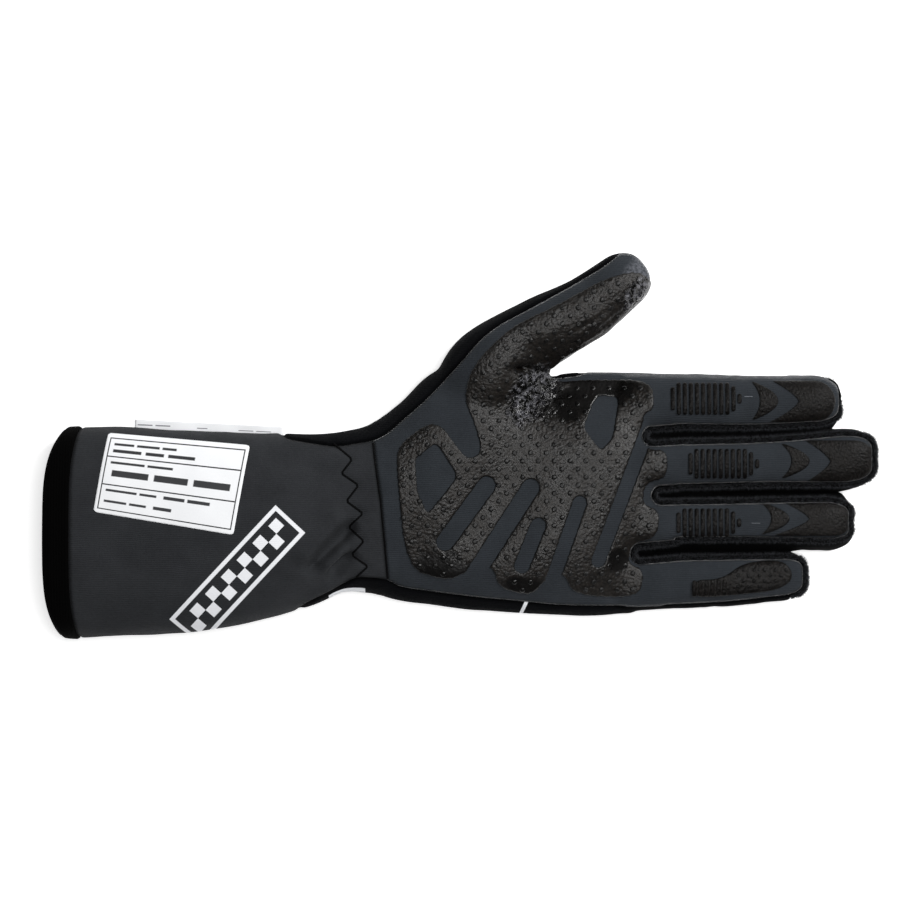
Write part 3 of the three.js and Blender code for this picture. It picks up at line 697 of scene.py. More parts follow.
def shaped(mesh, rise):
    """The mesh moved along its normals, by a function of the distance from its edge."""
    co, normal = vertex_places(mesh), vertex_normals(mesh)
    co += normal * np.asarray(rise(attribute(mesh, "edge")))[:, None]
    co[:, 2] = np.maximum(co[:, 2], 0)
    set_places(mesh, co)
    return mesh


def rolled(depth, width=0.6):
    """An edge that rolls inwards. A deeper one tucks under a less deep one."""
    return lambda edge: -depth * np.exp(-((np.maximum(edge, 0) / width) ** 2))


def finished(name, mesh, material, nodes=(), thickness=0.0, sharp=60):
    """A piece of the glove: scaled to metres, with its thickness and material, hung on the root body; the
    model's parts that it replaces are hidden.
    """
    mesh.name = name
    mesh.transform(Matrix.Scale(METRE, 4))
    mesh.shade_smooth()
    mesh.set_sharp_from_angle(angle=math.radians(sharp))
    mesh.materials.clear()
    mesh.materials.append(material)
    piece = bpy.data.objects.new(name, mesh)
    bpy.context.scene.collection.objects.link(piece)
    if thickness:
        wall = piece.modifiers.new("wall", "SOLIDIFY")
        wall.thickness = thickness * METRE
        wall.offset = -1
    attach(piece, "root")
    if nodes:
        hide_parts(*nodes)
    return piece


# Prints, dots, ribs and threads that lie on the form


def plate(form, levels, lift=PRINT_LIFT, height=PRINT_THICKNESS, soften=0.3, rings=(0.15, 0.35, 0.7)):
    """A closed plate that follows the form, with a soft upper edge."""
    mesh = cut(form, levels, rings, margin=0.0)
    bm = bmesh.new()
    bm.from_mesh(mesh)
    bm.normal_update()
    edge = bm.verts.layers.float["edge"]
    normals = {v: v.normal.copy() for v in bm.verts}
    base = list(bm.verts)
    grown = bmesh.ops.extrude_face_region(bm, geom=bm.faces[:], use_keep_orig=True)
    top = [v for v in grown["geom"] if isinstance(v, bmesh.types.BMVert)]
    lower_faces = [f for f in bm.faces if all(v in normals for v in f.verts)]
    bmesh.ops.reverse_faces(bm, faces=lower_faces)
    bm.normal_update()
    tree = {tuple(v.co): v for v in base}
    for vert in top:
        normal = normals[tree[tuple(vert.co)]]
        vert.co += normal * (lift + height * (1 - 0.75 * math.exp(-vert[edge] / soften)))
    for vert in base:
        vert.co += normals[vert] * lift
    bm.to_mesh(mesh)
    bm.free()
    return mesh


class Surface:
    """The form's upper side, to set small things on."""

    def __init__(self, form):
        bm = bmesh.new()
        bm.from_mesh(form)
        self.tree = BVHTree.FromBMesh(bm)
        bm.free()

    def at(self, x, y):
        """The place and the normal at x, y, or None twice beside the form."""
        place, normal, _, _ = self.tree.ray_cast(Vector((x, y, 90)), Vector((0, 0, -1)))
        return place, normal


def joined(template, places):
    """Copies of a small mesh, set at places and turned to their normals, joined into one mesh."""
    corner = vertex_places(template)
    faces = [list(polygon.vertices) for polygon in template.polygons]
    all_corners, all_faces = [], []
    for i, (place, normal, size) in enumerate(places):
        turn = np.array(normal.to_track_quat("Z", "Y").to_matrix())
        all_corners.append((corner * size) @ turn.T + np.array(place))
        all_faces += [[v + i * len(corner) for v in face] for face in faces]
    mesh = bpy.data.meshes.new("joined")
    mesh.from_pydata(np.concatenate(all_corners).tolist(), [], all_faces)
    # the ring attribute marks each dot's foot, where the material paints shade
    tone = mesh.attributes.new("ring", "FLOAT", "POINT")
    tone.data.foreach_set("value", np.tile(attribute(template, "ring"), len(places)).astype(np.float32))
    return mesh


def dot_template():
    """One printed dot: a low dome. Its ring attribute marks the foot, which the material darkens with
    painted shade.
    """
    bm = bmesh.new()
    made = bmesh.ops.create_cone(
        bm, cap_ends=True, segments=10, radius1=DOT_RADIUS * 1.2, radius2=DOT_RADIUS * 1.02, depth=0.3)
    bmesh.ops.translate(bm, verts=made["verts"], vec=(0, 0, -0.05))
    for inset, up in ((0.1, 0.3), (0.3, 0.22), (0.3, 0.08)):
        cap = max(bm.faces, key=lambda f: f.calc_center_median().z)
        bmesh.ops.inset_region(bm, faces=[cap], thickness=inset, use_even_offset=True)
        bmesh.ops.translate(bm, verts=cap.verts, vec=(0, 0, up * DOT_HEIGHT / 0.6))
    ring = bm.verts.layers.float.new("ring")
    for vert in bm.verts:
        vert[ring] = min(1, max(0, (vert.co.xy.length / DOT_RADIUS - 0.8) / 0.18))
    mesh = bpy.data.meshes.new("dot")
    bm.to_mesh(mesh)
    bm.free()
    return mesh


def dot_places(surface, level, lift, size=1.0):
    """Places of the printed dots, in rows that are shifted by half a pitch."""
    lattice = size * np.array([
        (column * DOT_PITCH + (row % 2) * DOT_PITCH / 2, row * DOT_ROW, 50.0)
        for row in range(-30, 25) for column in range(-6, 36)
    ])
    found = []
    for x, y, _ in lattice[level(lattice) > DOT_INSET]:
        place, normal = surface.at(x, y)
        if place and normal.z > DOT_STEEPEST:
            found.append((place + normal * lift, normal, size))
    return found


def bevel(bm, edges, offset, segments):
    bmesh.ops.bevel(
        bm, geom=edges, offset=offset, affect="EDGES", segments=segments, profile=0.5, material=-1)


def rib_mesh(surface, bars, lift=0.06):
    """Bars printed across a finger: x, y, length and width of each."""
    whole = bmesh.new()
    for x, y, length, width in bars:
        bm = bmesh.new()
        bmesh.ops.create_cube(bm, size=1)
        bmesh.ops.scale(bm, verts=bm.verts, vec=(width, length, RIB_HEIGHT))
        upright = [e for e in bm.edges if abs(e.verts[0].co.z - e.verts[1].co.z) > RIB_HEIGHT / 2]
        bevel(bm, upright, width * 0.45, 3)
        upper = [e for e in bm.edges if min(v.co.z for v in e.verts) > RIB_HEIGHT * 0.4]
        bevel(bm, upper, 0.3, 2)
        steps = max(2, round(length / 1.6))
        for step in range(1, steps):
            bmesh.ops.bisect_plane(
                bm, geom=bm.verts[:] + bm.edges[:] + bm.faces[:], dist=1e-4,
                plane_co=(0, length * (step / steps - 0.5), 0), plane_no=(0, 1, 0),
            )
        for vert in bm.verts:
            place, _ = surface.at(x + vert.co.x, y + vert.co.y)
            vert.co = (x + vert.co.x, y + vert.co.y, place.z + vert.co.z + RIB_HEIGHT / 2 + lift)
        bmesh.ops.recalc_face_normals(bm, faces=bm.faces)
        bar = bpy.data.meshes.new("bar")
        bm.to_mesh(bar)
        bm.free()
        whole.from_mesh(bar)
        bpy.data.meshes.remove(bar)
    mesh = bpy.data.meshes.new("ribs")
    whole.to_mesh(mesh)
    whole.free()
    return mesh


def pad_bars(x, y, length, width):
    """The bars of one ribbed pad. The first is short and the last is a nub."""
    count = round((length - RIB_WIDTH) / RIB_PITCH) + 1
    start = x - length / 2 + RIB_WIDTH / 2
    shares = [0.72, *[1.0] * (count - 3), 0.78, 0.3]
    return [(start + i * RIB_PITCH, y, width * share, RIB_WIDTH) for i, share in enumerate(shares)]


def bent(line):
    """A bent line whose corners are cut off, so that a thread turns softly."""
    points = np.array(line, float)
    cuts = np.stack([points[:-1] * 0.9 + points[1:] * 0.1, points[:-1] * 0.1 + points[1:] * 0.9], 1)
    return [tuple(points[0]), *map(tuple, cuts.reshape(-1, 2)), tuple(points[-1])]


def thread(surface, line, radius, sink):
    """A thread laid along a line on the form."""
    points = []
    for (ax, ay), (bx, by) in zip(line, line[1:]):
        steps = max(1, round(math.hypot(bx - ax, by - ay) / 0.7))
        points += [(ax + (bx - ax) * i / steps, ay + (by - ay) * i / steps) for i in range(steps)]
    points.append(line[-1])
    curve = bpy.data.curves.new("thread", "CURVE")
    curve.dimensions = "3D"
    curve.bevel_depth = radius
    curve.bevel_resolution = 1
    curve.use_fill_caps = True
    spline = curve.splines.new("POLY")
    spline.points.add(len(points) - 1)
    for point, (x, y) in zip(spline.points, points):
        place, normal = surface.at(x, y)
        point.co = (*(place - normal * sink), 1)
    holder = bpy.data.objects.new("thread", curve)
    bpy.context.scene.collection.objects.link(holder)
    mesh = bpy.data.meshes.new_from_object(holder.evaluated_get(bpy.context.evaluated_depsgraph_get()))
    bpy.data.objects.remove(holder)
    bm = bmesh.new()
    bm.from_mesh(mesh)
    bmesh.ops.remove_doubles(bm, verts=bm.verts, dist=0.001)
    bmesh.ops.recalc_face_normals(bm, faces=bm.faces)
    bm.to_mesh(mesh)
    bm.free()
    return mesh


def fibres(mesh, level_low, level_high, seed, count, length, width):
    """Short fibres that stand on a mesh, where its edge distance lies between two values."""
    random = np.random.default_rng(seed)
    mesh.calc_loop_triangles()
    corners = np.zeros(len(mesh.loop_triangles) * 3, np.int32)
    mesh.loop_triangles.foreach_get("vertices", corners)
    corners = corners.reshape(-1, 3)
    co, normal, edge = vertex_places(mesh), vertex_normals(mesh), attribute(mesh, "edge")
    middle = edge[corners].mean(1)
    upward = normal[corners].mean(1)[:, 2] > -0.2
    corners = corners[(middle > level_low) & (middle < level_high) & upward]
    a, b, c = (co[corners[:, i]] for i in range(3))
    area = np.linalg.norm(np.cross(b - a, c - a), axis=1)
    chosen = random.choice(len(corners), count, p=area / area.sum())
    weights = random.dirichlet((1, 1, 1), count)
    foot = (co[corners[chosen]] * weights[:, :, None]).sum(1)
    out = (normal[corners[chosen]] * weights[:, :, None]).sum(1)
    lean = out + random.normal(0, NAP_LEAN, (count, 3))
    lean /= np.linalg.norm(lean, axis=1)[:, None]
    side = np.cross(lean, random.normal(0, 1, (count, 3)))
    side /= np.linalg.norm(side, axis=1)[:, None]
    other = np.cross(lean, side)
    tall = length * random.uniform(0.5, 1.2, count)[:, None]
    turns = [(1, 0), (-0.5, 0.87), (-0.5, -0.87)]
    foot = foot - out * 0.1
    ring = [foot + width / 2 * (side * u + other * v) for u, v in turns]
    tip = foot + lean * tall
    points = np.stack([*ring, tip], 1).reshape(-1, 3)
    faces = np.array([(0, 2, 1), (0, 1, 3), (1, 2, 3), (2, 0, 3)])
    all_faces = (faces[None] + 4 * np.arange(count)[:, None, None]).reshape(-1, 3)
    made = bpy.data.meshes.new("fibres")
    made.from_pydata(points.tolist(), [], all_faces.tolist())
    return made


# Materials


def add(tree, kind, *values, **settings):
    """A node with its settings, whose inputs are given in order, as numbers or other nodes' sockets."""
    made = tree.nodes.new("ShaderNode" + kind)
    for key, value in settings.items():
        setattr(made, key, value)
    for socket, value in zip(made.inputs, values):
        if value is None:
            continue
        if isinstance(value, bpy.types.NodeSocket):
            tree.links.new(value, socket)
        else:
            socket.default_value = value
    return made


def maths(tree, operation, *values, clamp=False):
    return add(tree, "Math", *values, operation=operation, use_clamp=clamp).outputs[0]


def times(tree, first, second):
    return maths(tree, "MULTIPLY", first, second)


def plus(tree, first, second, clamp=False):
    return maths(tree, "ADD", first, second, clamp=clamp)


def minus(tree, first, second, clamp=False):
    return maths(tree, "SUBTRACT", first, second, clamp=clamp)


def together(tree, operation, values):
    """Several values brought to one by the same operation."""
    total, *others = values
    for value in others:
        total = maths(tree, operation, total, value)
    return total


def ramp(tree, value, low, high, to_low=0.0, to_high=1.0):
    """A value that changes smoothly from to_low to to_high while another runs from low to high."""
    made = add(tree, "MapRange", value, low, high, to_low, to_high, interpolation_type="SMOOTHSTEP")
    return made.outputs[0]


def mix_colour(tree, share, first, second):
    made = add(tree, "Mix", data_type="RGBA")
    for socket, value in zip((made.inputs[0], made.inputs[6], made.inputs[7]), (share, first, second)):
        if isinstance(value, bpy.types.NodeSocket):
            tree.links.new(value, socket)
        elif isinstance(value, tuple):
            socket.default_value = (*value, 1)
        else:
            socket.default_value = value
    return made.outputs[2]


def object_millimetres(tree):
    coordinates = add(tree, "TexCoord").outputs["Object"]
    return add(tree, "Mapping", coordinates, (0, 0, 0), (0, 0, 0), (1 / METRE,) * 3).outputs[0]


def parts(tree, vector):
    """The x, y and z of a vector."""
    return add(tree, "SeparateXYZ", vector).outputs


def clouds(tree, scale, detail, roughness=None):
    """Cloudy noise from 0 to 1, with about so many clouds in a millimetre as scale says."""
    made = add(
        tree, "TexNoise", object_millimetres(tree), None, scale, detail, roughness, noise_dimensions="3D")
    return made.outputs[0]


def effect(name, inputs, outputs):
    """A new shared effect, with its inputs and outputs."""
    tree = bpy.data.node_groups.new(name, "ShaderNodeTree")
    for socket, default in inputs.items():
        made = tree.interface.new_socket(socket, in_out="INPUT", socket_type="NodeSocketFloat")
        made.default_value = default
    for socket in outputs:
        tree.interface.new_socket(socket, in_out="OUTPUT", socket_type="NodeSocketFloat")
    return tree, tree.nodes.new("NodeGroupInput").outputs, tree.nodes.new("NodeGroupOutput").inputs


def knit_effect():
    """The loops of a knitted cloth. Rows run along the glove, on its top and on its sides."""
    tree, given, out = effect("knit", {"Row": KNIT_ROW, "Loop": KNIT_LOOP}, ["Height", "Fuzz"])
    place = parts(tree, object_millimetres(tree))
    wander = clouds(tree, 0.12, 2.0)
    wander = times(tree, minus(tree, wander, 0.5), 1.4)
    normal = parts(tree, add(tree, "NewGeometry").outputs["Normal"])
    side = maths(tree, "ABSOLUTE", normal[1])
    steep = ramp(tree, side, 0.62, 0.8)
    heights = []
    for axis, share in ((1, minus(tree, 1.0, steep)), (2, steep)):
        row = maths(tree, "DIVIDE", plus(tree, place[axis], wander), given["Row"])
        wave = maths(tree, "ABSOLUTE", maths(tree, "SINE", times(tree, row, math.pi)))
        slant = times(tree, maths(tree, "PINGPONG", row, 0.5), 0.9)
        loop = maths(tree, "DIVIDE", plus(tree, place[0], slant), given["Loop"])
        beat = maths(tree, "ABSOLUTE", maths(tree, "SINE", times(tree, loop, math.pi)))
        height = times(tree, wave, maths(tree, "MULTIPLY_ADD", beat, 0.45, 0.55))
        heights.append(times(tree, height, share))
    tree.links.new(together(tree, "ADD", heights), out["Height"])
    fuzz = clouds(tree, 0.9, 4.0, 0.75)
    tree.links.new(fuzz, out["Fuzz"])
    return tree


def lumps_effect():
    """The uneven skin of printed silicone: soft lumps, pits and a blotchy tone."""
    tree, given, out = effect("lumps", {"Size": 1.1}, ["Height", "Tone", "Gloss"])
    scale = maths(tree, "DIVIDE", 1.0, given["Size"])
    pits = clouds(tree, scale, 3.0, 0.62)
    veins = add(tree, "TexVoronoi", object_millimetres(tree), None, scale, feature="SMOOTH_F1").outputs[0]
    broad = clouds(tree, 0.11, 3.0)
    tree.links.new(plus(tree, times(tree, veins, 0.8), pits), out["Height"])
    tone = maths(tree, "MULTIPLY_ADD", minus(tree, pits, 0.5), 3.0, 0.5)
    tone = plus(tree, tone, times(tree, minus(tree, broad, 0.5), 1.4), clamp=True)
    tree.links.new(tone, out["Tone"])
    tree.links.new(ramp(tree, broad, 0.35, 0.65), out["Gloss"])
    return tree


def seam_effect():
    """How close a place is to the edge of its panel: 1 in the seam, 0 away from it."""
    tree, given, out = effect("seam", {"Edge": 5.0, "Width": 1.4}, ["Near"])
    tree.links.new(ramp(tree, given["Edge"], 0.0, given["Width"], 1.0, 0.0), out["Near"])
    return tree


EFFECTS = {"knit": knit_effect(), "lumps": lumps_effect(), "seam": seam_effect()}


def use(tree, name, **values):
    """A shared effect placed in a material, with its own values."""
    made = tree.nodes.new("ShaderNodeGroup")
    made.node_tree = EFFECTS[name]
    for key, value in values.items():
        if isinstance(value, bpy.types.NodeSocket):
            tree.links.new(value, made.inputs[key])
        else:
            made.inputs[key].default_value = value
    return made.outputs


def new_material(name, roughness, specular=0.5):
    """A new material: its node tree and its shader."""
    material = bpy.data.materials.new(name)
    material.use_nodes = True
    tree = material.node_tree
    shader = tree.nodes["Principled BSDF"]
    shader.inputs["Roughness"].default_value = roughness
    shader.inputs["Specular IOR Level"].default_value = specular
    return material, tree, shader


def bump(tree, shader, height, distance):
    made = tree.nodes.new("ShaderNodeBump")
    made.inputs["Strength"].default_value = 1.0
    made.inputs["Distance"].default_value = distance * METRE
    tree.links.new(height, made.inputs["Height"])
    tree.links.new(made.outputs[0], shader.inputs["Normal"])


def edge_socket(tree, name="edge"):
    return add(tree, "Attribute", attribute_name=name).outputs["Fac"]


def cloth(name, dark, light, paint=None, specular=0.1, sheen=0.0):
    """Knitted cloth: rows of loops, a blotchy tone and seams darkened with painted shade. paint may print on
    it, or paint a sheen on it.
    """
    material, tree, shader = new_material(name, 0.9, specular)
    shader.inputs["Sheen Weight"].default_value = sheen
    shader.inputs["Sheen Roughness"].default_value = 0.3
    knit = use(tree, "knit")
    blotch = clouds(tree, 0.07, 4.0)
    fuzz = times(tree, knit["Fuzz"], 0.8)
    blotch = times(tree, minus(tree, blotch, 0.5), 0.9)
    tone = plus(tree, times(tree, knit["Height"], 0.24), fuzz)
    tone = plus(tree, tone, blotch, clamp=True)
    colour = mix_colour(tree, tone, dark, light)
    # painted shade: the cloth is painted darker towards its seams, where the panels roll in
    close = use(tree, "seam", Edge=edge_socket(tree), Width=1.6)["Near"]
    seam_shade_share = times(tree, close, SEAM_SHADE)
    colour = mix_colour(tree, seam_shade_share, colour, tuple(0.2 * c for c in dark))
    height = plus(tree, knit["Height"], fuzz)
    if paint:
        # paint gives a print, or a painted sheen
        mask, painted_colour = paint(tree)
        colour = mix_colour(tree, mask, colour, painted_colour)
        height = times(tree, height, maths(tree, "MULTIPLY_ADD", mask, -0.6, 1.0))
    tree.links.new(colour, shader.inputs["Base Color"])
    bump(tree, shader, height, KNIT_RELIEF)
    return material


def slanted(tree, centre, degrees):
    """Coordinates in millimetres, centred on a place of the palm's plane and turned."""
    coordinates = add(tree, "TexCoord").outputs["Object"]
    shifted = add(
        tree, "Mapping", coordinates, tuple(c * METRE for c in (*centre, 0)), (0, 0, math.radians(degrees)),
        (1, 1, 1), vector_type="TEXTURE",
    ).outputs[0]
    return parts(tree, add(tree, "Mapping", shifted, (0, 0, 0), (0, 0, 0), (1 / METRE,) * 3).outputs[0])


def inside_box(tree, place, low_x, high_x, low_y, high_y, soft=0.12):
    """1 inside a box in the palm's plane."""
    masks = []
    for socket, low, high in ((place[0], low_x, high_x), (place[1], low_y, high_y)):
        masks.append(ramp(tree, socket, low - soft, low + soft))
        masks.append(ramp(tree, socket, high - soft, high + soft, 1.0, 0.0))
    return together(tree, "MULTIPLY", masks)


def chequered_band(tree):
    """A slanted band of white squares on the cuff, between two white lines."""
    place = slanted(tree, *CHECK_PLACE)
    column = maths(tree, "FLOOR", maths(tree, "DIVIDE", place[0], CHECK))
    row = maths(tree, "FLOOR", maths(tree, "DIVIDE", place[1], CHECK))
    odd = maths(tree, "MODULO", maths(tree, "ABSOLUTE", plus(tree, column, row)), 2.0)
    shy = CHECK - 0.15
    field = inside_box(tree, place, -5 * CHECK - shy, 5 * CHECK + shy, -shy, shy)
    squares = times(tree, odd, field)
    outer = inside_box(tree, place, -6.75 * CHECK, 6.75 * CHECK, -1.75 * CHECK, 1.75 * CHECK)
    inner = inside_box(tree, place, -6.4 * CHECK, 6.4 * CHECK, -1.4 * CHECK, 1.4 * CHECK)
    mask = plus(tree, squares, minus(tree, outer, inner, clamp=True), clamp=True)
    normal = parts(tree, add(tree, "NewGeometry").outputs["Normal"])
    return times(tree, mask, ramp(tree, normal[2], -0.05, 0.05)), WHITE


def edge_stripe(tree):
    """A thin white stripe across the black edge of the hand, and a small white block at the wrist."""
    mask = inside_box(tree, slanted(tree, *STRIPE_PLACE), *STRIPE)
    side = parts(tree, object_millimetres(tree))
    block = inside_box(tree, (side[0], side[2]), *WHITE_BLOCK)
    block = times(tree, block, ramp(tree, side[1], -52, -54))
    return plus(tree, mask, block, clamp=True), WHITE


def silicone(name, dark, light, shine, lumps=1.1, outline=True, crinkled=False):
    """Printed silicone: brown-black, lumpy, with a dark outline, glossier places and painted shade at the
    foot of its dots. Crinkled print also gets pale flecks as painted highlights and dark patches of painted
    shade.
    """
    material, tree, shader = new_material(name, 0.45, shine)
    skin = use(tree, "lumps", Size=lumps)
    colour = mix_colour(tree, skin["Tone"], dark, light)
    if outline:
        close = use(tree, "seam", Edge=edge_socket(tree), Width=0.7)["Near"]
        colour = mix_colour(tree, times(tree, close, 0.85), colour, (0.003, 0.003, 0.003))
    # painted shade: each dot's foot is darkened, as shade falls round it
    foot = edge_socket(tree, "ring")
    colour = mix_colour(tree, times(tree, foot, 0.8), colour, (0.004, 0.004, 0.004))
    gloss = add(tree, "MapRange", skin["Gloss"], 0.0, 1.0, *SILICONE_ROUGHNESS).outputs[0]
    height = skin["Height"]
    if crinkled:
        glints, painted_shade = spots(tree, GLINT_SPOTS), spots(tree, SHADE_SPOTS)
        cells = add(tree, "TexVoronoi", object_millimetres(tree), None, 0.36, feature="DISTANCE_TO_EDGE")
        creases = times(tree, ramp(tree, cells.outputs[0], 0.0, 0.3), glints)
        height = maths(tree, "MULTIPLY_ADD", creases, 2.8, height)
        height = times(tree, height, maths(tree, "MULTIPLY_ADD", painted_shade, -0.6, 1.0))
        gloss = maths(tree, "MULTIPLY_ADD", glints, -0.17, gloss)
        gloss = maths(tree, "MULTIPLY_ADD", painted_shade, -0.1, gloss)
        # painted highlights: pale flecks stand in for glints on the crinkled print
        flecks = clouds(tree, 0.45, 4.0, 0.68)
        painted_glints = mix_colour(tree, ramp(tree, flecks, 0.46, 0.62), (0.002, 0.002, 0.002), (0.12, 0.12, 0.134))
        colour = mix_colour(tree, times(tree, glints, 0.8), colour, painted_glints)
        # painted shade: the print is darker where it tilts away from the light
        colour = mix_colour(tree, times(tree, painted_shade, 0.85), colour, (0.0006, 0.0005, 0.0005))
    tree.links.new(colour, shader.inputs["Base Color"])
    tree.links.new(gloss, shader.inputs["Roughness"])
    bump(tree, shader, height, SILICONE_RELIEF)
    return material


def spots(tree, rows):
    """1 in the middle of some ellipses in the palm's plane, falling to 0 at their uneven rims."""
    uneven = clouds(tree, 0.22, 3.0, 0.6)
    uneven = times(tree, minus(tree, uneven, 0.5), 1.6)
    masks = []
    for x, y, degrees, half_length, half_width in rows:
        place = slanted(tree, (x, y), degrees)
        off = maths(tree, "POWER", maths(tree, "DIVIDE", place[0], half_length), 2.0)
        off = plus(tree, off, maths(tree, "POWER", maths(tree, "DIVIDE", place[1], half_width), 2.0))
        masks.append(ramp(tree, plus(tree, off, uneven), 0.35, 1.1, 1.0, 0.0))
    return together(tree, "MAXIMUM", masks)


def thumb_sheen(tree):
    """Painted sheen: the thumb's end is painted pale, as its fuzzy cloth catches the light."""
    broken = clouds(tree, 0.8, 4.0, 0.7)
    return times(tree, spots(tree, THUMB_SHEEN), ramp(tree, broken, 0.3, 0.7)), (0.11, 0.115, 0.13)


def plain_cloth(name, colour, roughness=0.9):
    """Tape, thread and nap: a fine fibre relief with a faint change of tone."""
    material, tree, shader = new_material(name, roughness, 0.08)
    grain = clouds(tree, 1 / FIBRE_SIZE, 3.0, 0.7)
    dark, light = (tuple(share * c for c in colour) for share in (0.6, 1.4))
    tone = mix_colour(tree, ramp(tree, grain, 0.3, 0.7), dark, light)
    tree.links.new(tone, shader.inputs["Base Color"])
    bump(tree, shader, grain, FIBRE_RELIEF)
    return material


def band_cloth(name):
    """Black tape with fine ribs along the mouth."""
    material, tree, shader = new_material(name, 0.95, 0.03)
    place = parts(tree, object_millimetres(tree))
    ribs = maths(tree, "ABSOLUTE", maths(tree, "SINE", times(tree, place[0], math.pi / 1.1)))
    fuzz = clouds(tree, 1.2, 3.0, 0.7)
    tone = mix_colour(tree, fuzz, (0.0005, 0.0005, 0.0005), (0.0014, 0.0013, 0.0013))
    tree.links.new(tone, shader.inputs["Base Color"])
    bump(tree, shader, plus(tree, times(tree, ribs, 0.5), fuzz), 0.25)
    return material


def label_cloth(name, bars, print_colour, frame=None, lines=()):
    """White printed cloth with plain bars, a ruled frame and ruled lines. It is read by the piece's
    own map, from 0 to 1 both ways."""
    material, tree, shader = new_material(name, 0.65, 0.3)
    place = parts(tree, add(tree, "UVMap", uv_map="label").outputs[0])

    def inset(by):
        return inside_box(tree, place, by, 1 - by, LABEL_ASPECT * by, 1 - LABEL_ASPECT * by, 0.001)

    masks = [
        inside_box(tree, place, *span, low, high, 0.004) for low, high, *spans in bars for span in spans]
    for height in lines:
        masks.append(inside_box(tree, place, frame, 1 - frame, height - 0.008, height + 0.008, 0.001))
    if frame:
        masks.append(minus(tree, inset(frame), inset(frame + RULE_WIDTH), clamp=True))
    weave = clouds(tree, 2.0, 3.0, 0.6)
    white = mix_colour(tree, weave, (0.86, 0.87, 0.89), (0.93, 0.94, 0.955))
    painted_colour = mix_colour(tree, together(tree, "MAXIMUM", masks), white, print_colour)
    tree.links.new(painted_colour, shader.inputs["Base Color"])
    bump(tree, shader, weave, 0.06)
    return material


PALM_CLOTH = cloth(
    "palm_cloth", (0.0165, 0.0190, 0.0225), (0.0335, 0.0385, 0.0450), paint=thumb_sheen, sheen=0.32)
CUFF_CLOTH = cloth(
    "cuff_cloth", (0.0165, 0.0175, 0.0195), (0.0335, 0.0355, 0.0390), paint=chequered_band, sheen=0.03)
BACK_CLOTH = cloth(
    "back_cloth", (0.0018, 0.0020, 0.0025), (0.0042, 0.0046, 0.0056), paint=edge_stripe, specular=0.04)
WALL_CLOTH = plain_cloth("wall_cloth", (0.0014, 0.0015, 0.0017))
NAP_CLOTH = plain_cloth("nap", (0.034, 0.036, 0.04), 0.95)
THREAD = plain_cloth("thread", (0.0025, 0.0025, 0.0027))
PALE_THREAD = plain_cloth("pale_thread", (0.16, 0.17, 0.19), 0.8)
BAND_CLOTH = band_cloth("band_cloth")
PALM_SILICONE = silicone(
    "palm_silicone", (0.0008, 0.0006, 0.0005), (0.011, 0.0085, 0.0066), shine=0.35, crinkled=True)
RIB_SILICONE = silicone(
    "rib_silicone", (0.001, 0.0009, 0.0008), (0.006, 0.005, 0.0045), shine=0.1, outline=False)
TIP_SILICONE = silicone(
    "tip_silicone", (0.0015, 0.0013, 0.0012), (0.0085, 0.0072, 0.0064), shine=0.12, lumps=0.9)
LITTLE_SILICONE = silicone(
    "little_silicone", (0.0014, 0.0012, 0.0011), (0.0095, 0.0082, 0.0074), shine=0.12)
LABEL_CLOTH = label_cloth("label_cloth", PATCH_BARS, (0.03, 0.031, 0.034), PATCH_FRAME, PATCH_LINES)
TAB_CLOTH = label_cloth("tab_cloth", TAB_BARS, (0.24, 0.24, 0.26))


# Making the glove

PALM_SEAM_ROUND = rounded(PALM_SEAM, 2)
FRONTS = [finger_front(name) for name in FRONT_SEAM]
form = whole_form()
surface = Surface(form)
FORM_CO = vertex_places(form)

on_palm = palm_level(FORM_CO)
past_wrist = wrist_level(FORM_CO)
past_mouth = mouth_level(FORM_CO)
past_band = band_level(FORM_CO)
past_back_seam = FORM_CO[:, 0] - BACK_SEAM_X
in_gap = {pair: gap_level(*pair)(FORM_CO) for pair in GUSSETS}
outside_gaps = -np.max(list(in_gap.values()), axis=0)

palm = shaped(cut(form, [on_palm, past_wrist], SEAM_RINGS), rolled(PALM_ROLL))
finished("palm_front", palm, PALM_CLOTH, ["palm_panel"], CLOTH)

cuff = cut(form, [on_palm, -past_wrist, past_band], SEAM_RINGS, margins=(SEAM_GAP / 2, TUCK, BAND_TUCK))
shaped(cuff, rolled(CUFF_ROLL))
finished("cuff_front_cloth", cuff, CUFF_CLOTH, ["cuff_front"], CLOTH)

margins = (TUCK, SEAM_GAP / 2, SEAM_GAP / 2)
back = cut(form, [-on_palm, past_back_seam, outside_gaps], SEAM_RINGS, margins=margins)
shaped(back, rolled(HAND_ROLL))
finished("hand_back", back, BACK_CLOTH, ["back_panel"], CLOTH)

cuff_back = cut(form, [-on_palm, -past_back_seam, past_band], SEAM_RINGS, margins=(TUCK, TUCK, BAND_TUCK))
shaped(cuff_back, rolled(CUFF_BACK_ROLL))
finished("cuff_back_cloth", cuff_back, BACK_CLOTH, ["cuff_back"], CLOTH)


def welt_rise(edge):
    """The rolled and napped seam edge along the front of the fingers."""
    across = (edge - WELT_WIDTH / 2) / (WELT_WIDTH / 2)
    return WELT_RISE * np.sqrt(np.clip(1 - across**2, 0, 1)) - 0.2 * np.exp(-edge / 0.2)


